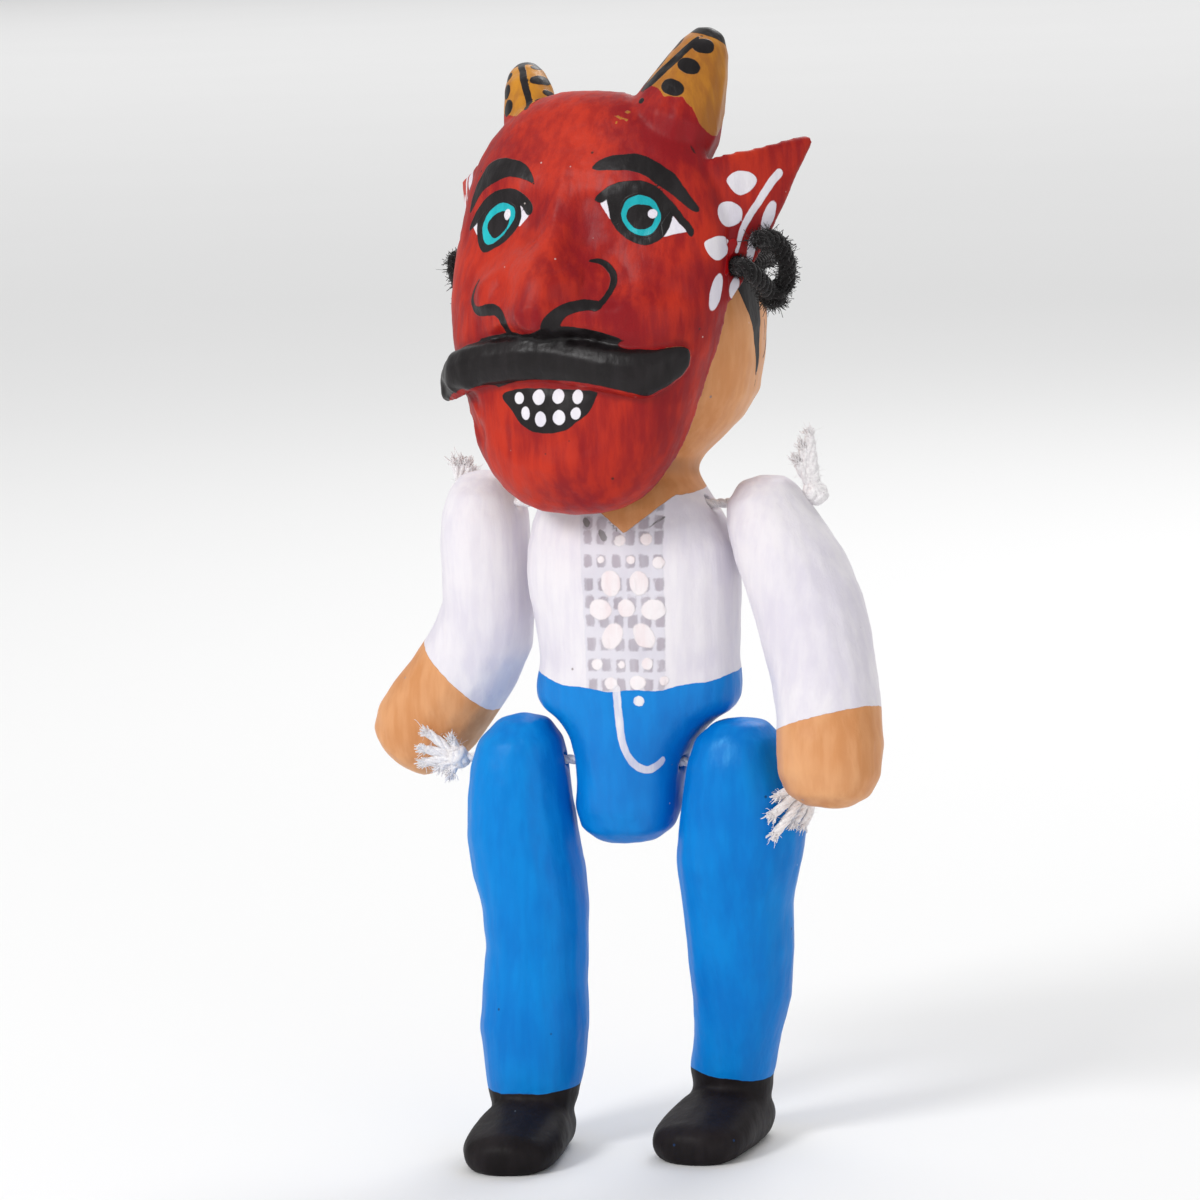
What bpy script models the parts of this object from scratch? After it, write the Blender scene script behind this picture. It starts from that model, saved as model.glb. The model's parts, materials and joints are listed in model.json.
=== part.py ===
"""Papier-mache doll with cord-tied limbs and a tied-on devil mask, as moulded solids.

Metres, +Z up. The doll faces -Y, its own left is +X, and its soles stand on z = 0, with
the origin under the middle of its box. The free form is given in parts of the height, and
the walls, cords, holes and gaps in metres.
"""

from dataclasses import dataclass
from math import cos, pi, radians, sin

import bmesh
import bpy
import numpy as np
from mathutils import Matrix, Vector

# Driving sizes
HEIGHT = 0.1965  # sole to the tip of the taller horn
PARTS_TALL = 196.5  # the sculptor's measure: this many parts make the height
PART = HEIGHT / PARTS_TALL
MASK_WALL = 0.0025
EAR_THICKNESS = 0.0028
CORD_RADIUS = 0.0009
KNOT_RADIUS = 0.0024
YARN_RADIUS = 0.0014
YARN_KNOT_RADIUS = 0.0027
HOLE_CLEARANCE = 0.0004  # between a cord and the hole that it runs through
SEAT_GAP = 0.0005  # between a knot and the piece that it holds

# Squareness of the sections: 2 is an ellipse
BODY_SQUARENESS = 2.25
LIMB_SQUARENESS = 2.2
MOUSTACHE_SQUARENESS = 2.2
EAR_SQUARENESS = 2.4
MASK_BROW_SQUARENESS = 2.6
MASK_JAW_SQUARENESS = 2.4

# Facets
BODY_RINGS = 33
BODY_SIDES = 26
ARM_RINGS = 15
ARM_SIDES = 16
LEG_RINGS = 18
LEG_SIDES = 16
SHOE_RINGS = 11
SHOE_SIDES = 14
MASK_RINGS = 18
MASK_INNER_RINGS = 6
MASK_SIDES = 40
HORN_RINGS = 9
HORN_SIDES = 12
EAR_RINGS = 10
EAR_SIDES = 12
MOUSTACHE_RINGS = 17
MOUSTACHE_SIDES = 10
CORD_SIDES = 8
KNOT_SIDES = 10
KNOT_RINGS = 6
HOLE_SIDES = 12
LOOP_STEPS = 10

# Where the cords run through the body, and where each arm turns its cord to its back, in parts
SHOULDER_CORD = (0.0, 114.2)
LEFT_ARM_BEND = (16.4, *SHOULDER_CORD)
LEFT_ARM_WAY_OUT = (0.9, 0.3, 0.12)
RIGHT_ARM_BEND = (-19.0, *SHOULDER_CORD)
RIGHT_ARM_WAY_OUT = (-0.85, 0.53, 0.03)
HIP_CORD = (-2.2, 68.8)
CORD_REACH = PARTS_TALL / 3.0  # past every limb
KNOT_STEP = 0.1  # how finely a knot finds its seat

# The mask's own frame: across to the doll's left, up, and out of the face, in parts
MASK_CENTRE = (-3.5, -6.5, 150.5)
MASK_TURN = radians(10.0)  # to the doll's right
MASK_ROLL = radians(-1.0)  # its left side raised
MASK_HALF_WIDTH = 26.0
MASK_TOP = 36.0
MASK_CHIN = 36.5
MASK_DEPTH = 16.0
MASK_LEAN = 0.009  # the dome's gain in depth for each part down
MASK_CHIN_FORWARD = 7.0
MASK_CROWN_BACK = 2.0
MASK_JAW_TAPER = 0.11
MASK_JAW_START = 3.0
MASK_JAW_DROP = 22.0
MASK_JAW_FULLNESS = 1.0  # more than a round dome's
MASK_BROW_UP = 12.0
MASK_CHEEK_DROP = 20.0
NOSE_TOP = 20.0
NOSE_FOOT = -4.6
NOSE_FOOT_SHARPNESS = 1.8
NOSE_TOP_RISE = 1.2
NOSE_TIP_RISE = 4.9
NOSE_TOP_WIDTH = 2.8
NOSE_TIP_WIDTH = 2.6  # more than at its top
NOSE_FLATNESS = 2.6
TIE_HOLE = (25.2, 6.0, -3.9)  # in the ear at the doll's left, mirrored in the other
TIE_HOLE_FACING = (0.76, 0.0, 0.65)
TIE_HOLE_REACH = 4.0
TIE_THROUGH = (4.2, 1.9, -1.9, -3.1)  # where the yarn runs straight in its hole
TIE_DROP = 0.5  # behind the head, under the height of its holes
TIE_HEIGHT = MASK_CENTRE[2] + TIE_HOLE[1] - TIE_DROP
TIE_TURNS = range(-16, 181, 14)  # round the back of the head, in degrees


@dataclass(frozen=True)
class Paint:
    """Colour and surface of one material."""

    name: str
    colour: tuple
    roughness: float


@dataclass(frozen=True)
class Swell:
    """One rounded rise or dip of the mask's face, in parts."""

    across: float
    up: float
    wide: float
    tall: float
    out: float
    paired: bool = False  # the same on both sides

    def at(self, across, up):
        """How far out it stands at a point."""
        beside = ((abs(across) if self.paired else across) - self.across) / self.wide
        above = (up - self.up) / self.tall
        return self.out * float(np.exp(-(beside**2) - above**2))


NOSE_BRIDGE = Swell(0.0, 20.0, 3.0, 5.0, NOSE_TOP_RISE)
NOSE_TIP = Swell(-0.6, -0.4, 5.6, 4.2, 2.6)
NOSE_WINGS = Swell(8.8, -1.6, 4.4, 3.8, 3.2, paired=True)
FACE_SWELLS = [
    Swell(12.0, 21.0, 8.0, 4.0, 0.9, paired=True),  # brows
    Swell(12.5, 13.0, 6.5, 5.0, -1.2, paired=True),  # eye sockets
    Swell(15.5, -2.0, 5.5, 6.0, 1.4, paired=True),  # cheeks
    Swell(0.0, -17.5, 10.0, 5.0, 0.8),  # mouth
    Swell(0.0, -27.0, 8.0, 5.0, 1.8),  # chin
]

FLESH = Paint("flesh paint", (0.75, 0.38, 0.16, 1.0), 0.5)
WHITE = Paint("white paint", (0.85, 0.83, 0.87, 1.0), 0.5)
BLUE = Paint("blue paint", (0.0, 0.24, 0.75, 1.0), 0.45)
RED = Paint("red paint", (0.58, 0.03, 0.02, 1.0), 0.4)
COTTON = Paint("white cotton", (0.85, 0.85, 0.86, 1.0), 0.9)
YARN = Paint("black yarn", (0.01, 0.01, 0.01, 1.0), 0.95)


# The doll's body, from the seat to the crown: x, y, z, half width, half depth, in parts
BODY_ROWS = [
    (-2.6, -1.5, 54.2, 0.0, 0.0),
    (-2.6, -1.5, 55.2, 6.6, 5.6),
    (-2.4, -1.5, 59.5, 9.3, 8.4),
    (-1.9, -1.2, 65.5, 9.6, 9.4),
    (-1.3, -0.8, 70.5, 10.4, 10.0),
    (-0.8, -0.4, 74.0, 12.2, 10.5),
    (-0.4, 0.0, 76.6, 15.0, 10.8),
    (-0.2, 0.0, 78.6, 17.9, 11.0),
    (-0.1, 0.0, 81.6, 18.8, 11.3),
    (0.1, 0.0, 87.0, 18.1, 11.0),
    (0.0, 0.0, 93.5, 18.5, 11.2),
    (-0.3, 0.0, 101.0, 19.2, 11.5),
    (-0.5, 0.0, 107.0, 18.9, 11.3),
    (-1.0, 0.2, 112.5, 16.9, 10.7),
    (-1.1, 1.0, 116.8, 14.0, 9.7),
    (-0.7, 2.6, 119.6, 11.5, 8.9),
    (0.0, 4.8, 122.6, 12.0, 10.2),
    (0.0, 6.0, 127.0, 17.0, 14.2),
    (0.0, 6.4, 133.0, 20.9, 17.8),
    (0.0, 6.5, 141.0, 22.2, 19.7),
    (0.0, 6.5, 150.0, 22.2, 19.9),
    (0.0, 6.5, 159.0, 19.9, 18.0),
    (0.0, 6.5, 167.0, 13.9, 12.8),
    (0.0, 6.5, 171.0, 5.8, 5.4),
    (0.0, 6.5, 172.0, 0.0, 0.0),
]
# The arms, from the shoulder to the fist
LEFT_ARM_ROWS = [
    (24.2, -2.0, 119.4, 0.0, 0.0),
    (24.2, -2.0, 117.9, 4.9, 5.2),
    (24.6, -2.0, 114.0, 7.0, 7.8),
    (27.0, -2.8, 108.6, 8.4, 8.8),
    (30.5, -4.0, 102.4, 9.3, 9.2),
    (33.6, -6.0, 94.6, 9.6, 9.2),
    (36.0, -8.6, 86.8, 9.3, 9.0),
    (37.6, -11.2, 79.6, 9.0, 8.6),
    (38.1, -13.2, 73.0, 9.3, 8.2),
    (38.0, -14.2, 67.4, 8.4, 7.4),
    (37.9, -14.6, 64.2, 4.9, 4.4),
    (37.9, -14.7, 63.4, 0.0, 0.0),
]
RIGHT_ARM_ROWS = [
    (-28.4, 3.0, 119.8, 0.0, 0.0),
    (-28.4, 3.0, 118.4, 4.8, 5.2),
    (-28.5, 3.0, 114.6, 6.9, 7.8),
    (-28.8, 3.0, 109.4, 7.8, 8.6),
    (-28.8, 3.2, 103.4, 7.8, 8.6),
    (-28.8, 4.0, 96.6, 8.1, 8.7),
    (-30.4, 5.0, 90.0, 8.9, 8.9),
    (-33.8, 5.6, 84.0, 9.2, 8.8),
    (-38.2, 6.0, 78.4, 9.2, 8.5),
    (-42.8, 6.4, 73.2, 9.2, 8.0),
    (-46.6, 6.6, 69.2, 7.6, 6.8),
    (-48.4, 6.6, 67.2, 4.2, 4.0),
    (-48.8, 6.6, 66.8, 0.0, 0.0),
]
# The legs, from the hip to inside the shoe
LEFT_LEG_ROWS = [
    (19.4, -4.0, 77.4, 0.0, 0.0),
    (19.3, -4.0, 76.0, 5.4, 5.4),
    (18.9, -3.8, 72.0, 8.2, 8.2),
    (18.8, -3.3, 66.0, 9.6, 9.4),
    (19.0, -2.6, 58.4, 11.2, 10.4),
    (17.9, -2.0, 51.4, 11.1, 10.3),
    (16.9, -0.8, 41.0, 9.5, 9.3),
    (17.0, 1.0, 30.0, 9.2, 8.9),
    (15.6, 2.2, 21.4, 8.0, 8.0),
    (14.0, 3.4, 14.0, 7.6, 7.6),
    (13.7, 3.6, 12.1, 7.5, 7.5),
    (13.6, 3.6, 11.4, 7.0, 7.1),
    (13.6, 3.9, 6.4, 6.8, 6.8),
    (13.6, 4.0, 3.0, 3.0, 3.0),
    (13.6, 4.0, 2.4, 0.0, 0.0),
]
RIGHT_LEG_ROWS = [
    (-20.4, -4.0, 77.4, 0.0, 0.0),
    (-20.5, -4.0, 75.8, 5.0, 5.2),
    (-21.2, -4.0, 71.6, 7.8, 8.0),
    (-21.6, -4.1, 66.0, 8.8, 9.0),
    (-21.5, -4.6, 59.0, 9.5, 9.5),
    (-20.3, -5.1, 51.0, 10.1, 9.9),
    (-18.9, -5.8, 44.4, 9.5, 9.3),
    (-18.5, -6.6, 36.6, 9.0, 8.8),
    (-19.1, -7.4, 28.2, 9.3, 9.0),
    (-19.3, -8.0, 21.0, 9.7, 9.2),
    (-19.2, -8.5, 14.6, 8.9, 8.6),
    (-19.4, -8.8, 11.2, 8.4, 8.1),
    (-19.4, -9.0, 10.5, 7.9, 7.7),
    (-19.4, -9.0, 6.4, 7.4, 7.0),
    (-19.4, -9.0, 3.0, 3.0, 3.0),
    (-19.4, -9.0, 2.4, 0.0, 0.0),
]
# A shoe, from heel to toe: ahead of the ankle, middle's height, half width, half height
SHOE_ROWS = [
    (-8.4, 3.6, 0.0, 0.0),
    (-7.0, 3.8, 4.8, 3.8),
    (-2.6, 4.4, 7.2, 5.8),
    (4.0, 4.6, 7.9, 6.6),
    (10.5, 3.9, 8.8, 5.4),
    (16.2, 3.2, 8.4, 4.4),
    (20.3, 2.7, 5.8, 3.4),
    (21.6, 2.6, 0.0, 0.0),
]
LEFT_SHOE_TURN = radians(-7.0)
RIGHT_SHOE_TURN = radians(2.0)
LEFT_ANKLE = (13.4, 3.4)
RIGHT_ANKLE = (-19.4, -9.4)

# The mask's ears, from inside the face to the tip: across, up, out, half height
LEFT_EAR_ROWS = [
    (18.0, 10.4, 2.0, 12.0),
    (22.6, 11.0, -0.6, 13.8),
    (26.0, 14.2, -4.6, 11.6),
    (29.4, 19.2, -9.6, 7.4),
    (32.2, 24.2, -13.8, 3.2),
    (33.6, 26.8, -16.0, 0.8),
]
RIGHT_EAR_ROWS = [
    (-18.0, 10.0, 2.0, 11.6),
    (-22.6, 10.4, -0.6, 12.8),
    (-25.8, 11.8, -4.4, 10.2),
    (-28.4, 14.4, -8.2, 6.6),
    (-30.4, 17.2, -10.8, 2.9),
    (-31.4, 18.8, -12.2, 0.8),
]
# The horns, from inside the face to the tip: across, up, out, radius
LEFT_HORN_ROWS = [
    (12.6, 20.6, -1.0, 0.0),
    (12.8, 22.2, -1.6, 5.4),
    (13.8, 28.0, -3.4, 8.0),
    (15.0, 34.2, -6.2, 7.2),
    (16.3, 40.4, -9.0, 5.3),
    (17.2, 44.8, -11.3, 3.0),
    (17.4, 46.0, -11.9, 0.0),
]
RIGHT_HORN_ROWS = [
    (-12.0, 20.6, -1.0, 0.0),
    (-12.2, 22.2, -1.6, 4.2),
    (-13.4, 27.4, -3.6, 5.4),
    (-15.2, 32.2, -6.0, 4.9),
    (-17.0, 36.4, -8.4, 4.0),
    (-18.4, 39.0, -10.4, 2.3),
    (-18.8, 39.8, -11.0, 0.0),
]
# The moustache, from the doll's right to its left: across, up, half thickness
MOUSTACHE_ROWS = [
    (-25.0, -15.0, 0.0),
    (-24.4, -14.6, 2.9),
    (-20.0, -12.4, 4.2),
    (-12.0, -9.8, 3.9),
    (0.0, -8.6, 4.3),
    (12.0, -10.2, 4.0),
    (18.6, -10.8, 4.0),
    (23.0, -8.8, 2.7),
    (24.0, -8.0, 0.0),
]
MOUSTACHE_RISE = 3.2  # how far its crest stands out of the face
MOUSTACHE_DEEP = 3.0  # from its middle line to its crest
MASK_FACE_LIMIT = 0.96  # where it still finds the face, as a share of the way to the edge

TAIL_SHARES = (0.0, 0.35, 0.75, 1.0)
TAIL_NECK = 0.8
TAIL_BULGE = 0.4
KNOT_STRETCH = (1.0, 0.95, 0.9)
# Loose ends of the white cords: from a knot, how far, then start and end radius
TAILS = {
    "shoulder left": ((0.14, 0.1, 1.0), 12.0, 1.7, 0.7),
    "shoulder right": ((0.04, 0.0, 1.0), 8.0, 1.4, 1.9),
    "hip left": ((0.1, -0.4, -1.0), 10.5, 1.1, 2.0),
    "hip right": ((-1.0, -0.45, 0.1), 7.5, 1.2, 2.6),
}
# The black yarn, outside the ear at the doll's left and then at its right, in parts
LEFT_EAR_WRAP = [(26.4, -7.2, 153.6), (27.2, -2.5, 150.4)]
LEFT_LOOP = [
    (27.2, -2.5, 150.4),
    (29.3, -1.6, 152.6),
    (29.9, -2.6, 156.6),
    (28.6, -5.2, 160.4),
    (26.2, -8.6, 160.6),
]
RIGHT_EAR_WRAP = [(-31.0, 0.4, 153.4), (-30.0, 2.8, 150.0)]


def clear_scene():
    """Remove whatever objects the file holds."""
    for thing in list(bpy.data.objects):
        bpy.data.objects.remove(thing)


def material(paint):
    """Principled material of one paint."""
    made = bpy.data.materials.get(paint.name) or bpy.data.materials.new(paint.name)
    made.use_nodes = True
    shader = made.node_tree.nodes["Principled BSDF"]
    shader.inputs["Base Color"].default_value = paint.colour
    shader.inputs["Roughness"].default_value = paint.roughness
    shader.inputs["Metallic"].default_value = 0.0
    return made


def read_curve(table, slope, steps):
    """Read a table at even steps along a cubic curve through each of its rows."""
    at = np.linspace(0.0, len(table) - 1.0, steps)
    before = np.minimum(at.astype(int), len(table) - 2)
    t = (at - before)[:, None]
    return (
        (2 * t**3 - 3 * t**2 + 1) * table[before]
        + (t**3 - 2 * t**2 + t) * slope[before]
        + (3 * t**2 - 2 * t**3) * table[before + 1]
        + (t**3 - t**2) * slope[before + 1]
    )


def read_rows(rows, steps, middles=3):
    """Read section rows as one curve, whose middles slow to a stop where an end closes."""
    table = np.array(rows, dtype=float)
    slope = np.gradient(table, axis=0)
    for end in (0, -1):
        if table[end, -1] == 0.0:
            slope[end, :middles] = 0.0
    return read_curve(table, slope, steps)


def smooth_path(points, steps):
    """Even points along a smooth curve through a few chosen ones."""
    table = np.array(points, dtype=float)
    return [Vector(point) for point in read_curve(table, np.gradient(table, axis=0), steps)]


def oval_point(turn, squareness):
    """Point at an angle on a superellipse of half width and half depth one."""
    across, along = cos(turn), sin(turn)
    power = 2.0 / squareness
    return (
        abs(across) ** power * (1 if across > 0 else -1),
        abs(along) ** power * (1 if along > 0 else -1),
    )


def oval(sides, squareness):
    """Points round a superellipse of half width and half depth one."""
    return [oval_point(2.0 * pi * k / sides, squareness) for k in range(sides)]


def solid(name, rings, start, end):
    """Closed object through rings of points, with a point or a flat face at each end."""
    shape = bmesh.new()
    loops = [[shape.verts.new(point) for point in ring] for ring in rings]
    sides = len(rings[0])
    for low, high in zip(loops, loops[1:]):
        for k in range(sides):
            shape.faces.new((low[k], low[(k + 1) % sides], high[(k + 1) % sides], high[k]))
    for loop, tip, order in ((loops[0], start, -1), (loops[-1], end, 1)):
        if tip is None:
            shape.faces.new(loop[::order])
            continue
        point = shape.verts.new(tip)
        for k in range(sides):
            shape.faces.new((loop[k], loop[(k + 1) % sides], point)[::order])
    bmesh.ops.recalc_face_normals(shape, faces=shape.faces)
    mesh = bpy.data.meshes.new(name)
    shape.to_mesh(mesh)
    shape.free()
    thing = bpy.data.objects.new(name, mesh)
    bpy.context.scene.collection.objects.link(thing)
    return thing


def upright_loft(name, rows, rings, sides, squareness):
    """Loft with level rings, for what stands straight."""
    curve = read_rows(rows, rings) * PART
    section = oval(sides, squareness)
    loops = [
        [(x + wide * a, y + deep * b, z) for a, b in section]
        for x, y, z, wide, deep in curve[1:-1]
    ]
    return solid(name, loops, curve[0, :3], curve[-1, :3])


def square_frame(along, side_hint):
    """Two unit directions square to a direction, the first one close to the hint."""
    along = along.normalized()
    across = (side_hint - along * side_hint.dot(along)).normalized()
    return across, along.cross(across)


def limb_loft(name, rows, rings, sides, squareness):
    """Loft whose rings stand square to the limb's own line."""
    curve = read_rows(rows, rings) * PART
    section = oval(sides, squareness)
    line = np.array(rows, dtype=float)[:, :3]
    course = np.gradient(line[1:-1], axis=0)
    course = np.vstack([course[:1], course, course[-1:]])
    places = np.linspace(0.0, len(line) - 1.0, rings)
    stations = np.arange(len(line))
    loops = []
    for place, (x, y, z, wide, deep) in list(zip(places, curve))[1:-1]:
        along = Vector([np.interp(place, stations, course[:, axis]) for axis in range(3)])
        across, out = square_frame(along, Vector((1.0, 0.0, 0.0)))
        middle = Vector((x, y, z))
        loops.append([middle + across * (wide * a) + out * (deep * b) for a, b in section])
    return solid(name, loops, curve[0, :3], curve[-1, :3])


def tube(name, points, radii, sides=CORD_SIDES):
    """Round tube through points, with its own radius at each and flat ends."""
    points = [Vector(point) for point in points]
    hint = Vector((0.0, 0.0, 1.0))
    loops = []
    for k, (point, radius) in enumerate(zip(points, radii)):
        along = points[min(k + 1, len(points) - 1)] - points[max(k - 1, 0)]
        if abs(along.normalized().dot(hint)) > 0.95:
            hint = Vector((0.0, 1.0, 0.2))
        across, out = square_frame(along, hint)
        hint = across
        loops.append(
            [
                point + (across * cos(turn) + out * sin(turn)) * radius
                for turn in (2.0 * pi * side / sides for side in range(sides))
            ]
        )
    return solid(name, loops, None, None)


def ball(name, centre, radius, stretch=(1.0, 1.0, 1.0)):
    """Rounded lump, stretched along the axes."""
    shape = bmesh.new()
    bmesh.ops.create_uvsphere(
        shape, u_segments=KNOT_SIDES, v_segments=KNOT_RINGS, radius=radius
    )
    for vertex in shape.verts:
        vertex.co = Vector(centre) + Vector(c * s for c, s in zip(vertex.co, stretch))
    mesh = bpy.data.meshes.new(name)
    shape.to_mesh(mesh)
    shape.free()
    thing = bpy.data.objects.new(name, mesh)
    bpy.context.scene.collection.objects.link(thing)
    return thing


def combine(base, other, operation):
    """Apply an exact Boolean of another object to the base, and remove the other."""
    modifier = base.modifiers.new(operation.title(), "BOOLEAN")
    modifier.operation = operation
    modifier.solver = "EXACT"
    modifier.object = other
    graph = bpy.context.evaluated_depsgraph_get()
    mesh = bpy.data.meshes.new_from_object(base.evaluated_get(graph))
    base.modifiers.clear()
    base.data = mesh
    bpy.data.objects.remove(other)


def cut_below(thing, height):
    """Cut an object flat at a height and close the cut."""
    shape = bmesh.new()
    shape.from_mesh(thing.data)
    geometry = shape.verts[:] + shape.edges[:] + shape.faces[:]
    cut = bmesh.ops.bisect_plane(
        shape, geom=geometry, plane_co=(0, 0, height), plane_no=(0, 0, 1), clear_inner=True
    )
    edges = [part for part in cut["geom_cut"] if isinstance(part, bmesh.types.BMEdge)]
    bmesh.ops.holes_fill(shape, edges=edges)
    bmesh.ops.recalc_face_normals(shape, faces=shape.faces)
    shape.to_mesh(thing.data)
    shape.free()


def finish(thing, paint):
    """Give an object its paint and its smooth shading."""
    thing.data.materials.clear()
    thing.data.materials.append(material(paint))
    thing.data.shade_smooth()
    thing.data.set_sharp_from_angle(angle=radians(50.0))


def drill(thing, start, end, cord_radius):
    """Cut the round hole of a cord between two points."""
    radius = cord_radius + HOLE_CLEARANCE
    bit = tube("drill", [start, end], [radius, radius], sides=HOLE_SIDES)
    combine(thing, bit, "DIFFERENCE")


def cross_line(line):
    """Start and end of a cord's line across the doll, from its right to its left."""
    return [Vector((side * CORD_REACH, *line)) * PART for side in (-1, 1)]


def knot_beyond(thing, inside, way_out):
    """Middle of the knot that stops a cord where it comes out of a piece."""
    way_out = Vector(way_out).normalized()
    outside = Vector(inside) + way_out * CORD_REACH * PART
    _, middle, _, _ = thing.ray_cast(outside, -way_out)
    clear = KNOT_RADIUS + SEAT_GAP
    while (thing.closest_point_on_mesh(middle)[1] - middle).length < clear:
        middle = middle + way_out * KNOT_STEP * PART
    return middle


def body():
    """Head, neck, chest and hips, moulded as one."""
    made = upright_loft("figure_body", BODY_ROWS, BODY_RINGS, BODY_SIDES, BODY_SQUARENESS)
    drill(made, *cross_line(SHOULDER_CORD), CORD_RADIUS)
    drill(made, *cross_line(HIP_CORD), CORD_RADIUS)
    finish(made, FLESH)


def arm(name, rows, inside, way_out):
    """One sleeve and fist, and the middle of the knot outside it."""
    made = limb_loft(name, rows, ARM_RINGS, ARM_SIDES, LIMB_SQUARENESS)
    inside = Vector(inside) * PART
    knot = knot_beyond(made, inside, way_out)
    drill(made, inside, inside + Vector(way_out).normalized() * CORD_REACH * PART, CORD_RADIUS)
    finish(made, WHITE)
    return knot


def shoe(ankle, turn):
    """One blunt shoe, before its sole is cut flat."""
    section = oval(SHOE_SIDES, LIMB_SQUARENESS)
    rows = [(ahead, 0.0, middle, wide, high) for ahead, middle, wide, high in SHOE_ROWS]
    curve = read_rows(rows, SHOE_RINGS) * PART
    forward = Vector((sin(turn), -cos(turn), 0.0))
    side = Vector((cos(turn), sin(turn), 0.0))
    origin = Vector((ankle[0], ankle[1], 0.0)) * PART
    middles = [origin + forward * row[0] + Vector((0.0, 0.0, row[2])) for row in curve]
    loops = [
        [middle + side * (wide * a) + Vector((0.0, 0.0, high * b)) for a, b in section]
        for middle, (_, _, _, wide, high) in zip(middles, curve)
    ]
    return solid("shoe", loops[1:-1], middles[0], middles[-1])


def leg(name, rows, ankle, turn, way_out):
    """One trouser leg with its shoe, flat under the sole, and the middle of its knot."""
    made = upright_loft(name, rows, LEG_RINGS, LEG_SIDES, LIMB_SQUARENESS)
    combine(made, shoe(ankle, turn), "UNION")
    cut_below(made, 0.0)
    inside = Vector((0.0, *HIP_CORD)) * PART
    knot = knot_beyond(made, inside, way_out)
    drill(made, *cross_line(HIP_CORD), CORD_RADIUS)
    finish(made, BLUE)
    return knot


def tail(knot, toward, length, start_radius, end_radius):
    """Loose end of a cord beyond its knot."""
    end = knot + Vector(toward).normalized() * length * PART
    points = [knot.lerp(end, share) for share in TAIL_SHARES]
    middle_radius = 0.5 * (start_radius + end_radius) + TAIL_BULGE
    radii = [TAIL_NECK * start_radius, start_radius, middle_radius, end_radius]
    return tube("tail", points, [radius * PART for radius in radii])


def white_cord(name, route, ends):
    """Cotton cord along a route from knot to knot, with a loose end beyond each knot."""
    made = tube(name, route, [CORD_RADIUS] * len(route))
    for knot, end in zip((route[0], route[-1]), ends):
        combine(made, tail(knot, *TAILS[end]), "UNION")
        combine(made, ball("knot", knot, KNOT_RADIUS, KNOT_STRETCH), "UNION")
    finish(made, COTTON)


def mask_place(across, up, out):
    """World position of a point in the mask's own frame, both in parts."""
    turn = Matrix.Rotation(-MASK_TURN, 4, "Z") @ Matrix.Rotation(-MASK_ROLL, 4, "Y")
    local = turn @ Vector((across, -out, up))
    return (local + Vector(MASK_CENTRE)) * PART


def mask_relief(across, up):
    """How far the face's features stand out of its plain dome, in parts."""
    down = np.clip((NOSE_TOP - up) / NOSE_TOP, 0.0, 1.0)
    under = 1.0 / (1.0 + np.exp((NOSE_FOOT - up) * NOSE_FOOT_SHARPNESS))
    if up < NOSE_TOP:
        broad = NOSE_TOP_WIDTH + NOSE_TIP_WIDTH * down**1.5
        nose = NOSE_TOP_RISE + NOSE_TIP_RISE * down**1.2
        nose *= float(np.exp(-abs(across / broad) ** NOSE_FLATNESS))
    else:
        nose = NOSE_BRIDGE.at(across, up)
    nose += NOSE_TIP.at(across, up) + NOSE_WINGS.at(across, up)
    return nose * under + sum(swell.at(across, up) for swell in FACE_SWELLS)


def mask_edge(angle):
    """Across and up on the mask's outline, at an angle round its centre."""
    squareness = MASK_BROW_SQUARENESS if sin(angle) > 0.0 else MASK_JAW_SQUARENESS
    across, up = oval_point(angle, squareness)
    up *= MASK_TOP if up > 0 else MASK_CHIN
    jaw = np.clip((MASK_JAW_START - up) / MASK_JAW_DROP, 0.0, 1.0)
    taper = MASK_JAW_TAPER * jaw**2 * (3 - 2 * jaw)
    return across * MASK_HALF_WIDTH * (1.0 - taper), up


def mask_rim(up):
    """How far out the mask's edge lies at a height."""
    low = np.clip(-up / MASK_CHIN, 0.0, 1.0)
    high = np.clip(up / MASK_TOP, 0.0, 1.0)
    return MASK_CHIN_FORWARD * low - MASK_CROWN_BACK * high


def dome_out(up, share):
    """How far out the plain dome stands, fuller in the cheeks and jaw than in the brow."""
    rim = mask_rim(up)
    depth = MASK_DEPTH * (1.0 - MASK_LEAN * up) - rim
    cheek = np.clip((MASK_BROW_UP - up) / MASK_CHEEK_DROP, 0.0, 1.0)
    fullness = 2.0 + MASK_JAW_FULLNESS * cheek
    return rim + depth * (1.0 - min(share, 1.0) ** fullness) ** (1.0 / fullness)


def mask_ring(lean, raised):
    """One ring of the mask's outer or inner surface, at an angle between nose and edge."""
    share = sin(lean)
    wall = MASK_WALL / PART
    ring = []
    for k in range(MASK_SIDES):
        across, up = mask_edge(2.0 * pi * k / MASK_SIDES)
        across, up = across * share, up * share
        out = dome_out(up, share)
        if raised:
            out += mask_relief(across, up) * min(1.0, 3.0 * cos(lean))
        else:
            across -= wall * across / MASK_HALF_WIDTH
            up -= wall * up / MASK_CHIN
            out -= wall * cos(lean)
        ring.append(mask_place(across, up, out))
    return ring


def mask_face():
    """The hollow face, from the nose out to the edge and back inside."""
    leans = [0.5 * pi * k / MASK_RINGS for k in range(1, MASK_RINGS + 1)]
    inner_leans = [0.5 * pi * k / MASK_INNER_RINGS for k in range(MASK_INNER_RINGS, 0, -1)]
    rings = [mask_ring(lean, True) for lean in leans]
    rings += [mask_ring(lean, False) for lean in inner_leans]
    nose = dome_out(0.0, 0.0)
    front = mask_place(0.0, 0.0, nose + mask_relief(0.0, 0.0))
    back = mask_place(0.0, 0.0, nose - MASK_WALL / PART)
    return solid("mask", rings, front, back)


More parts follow.
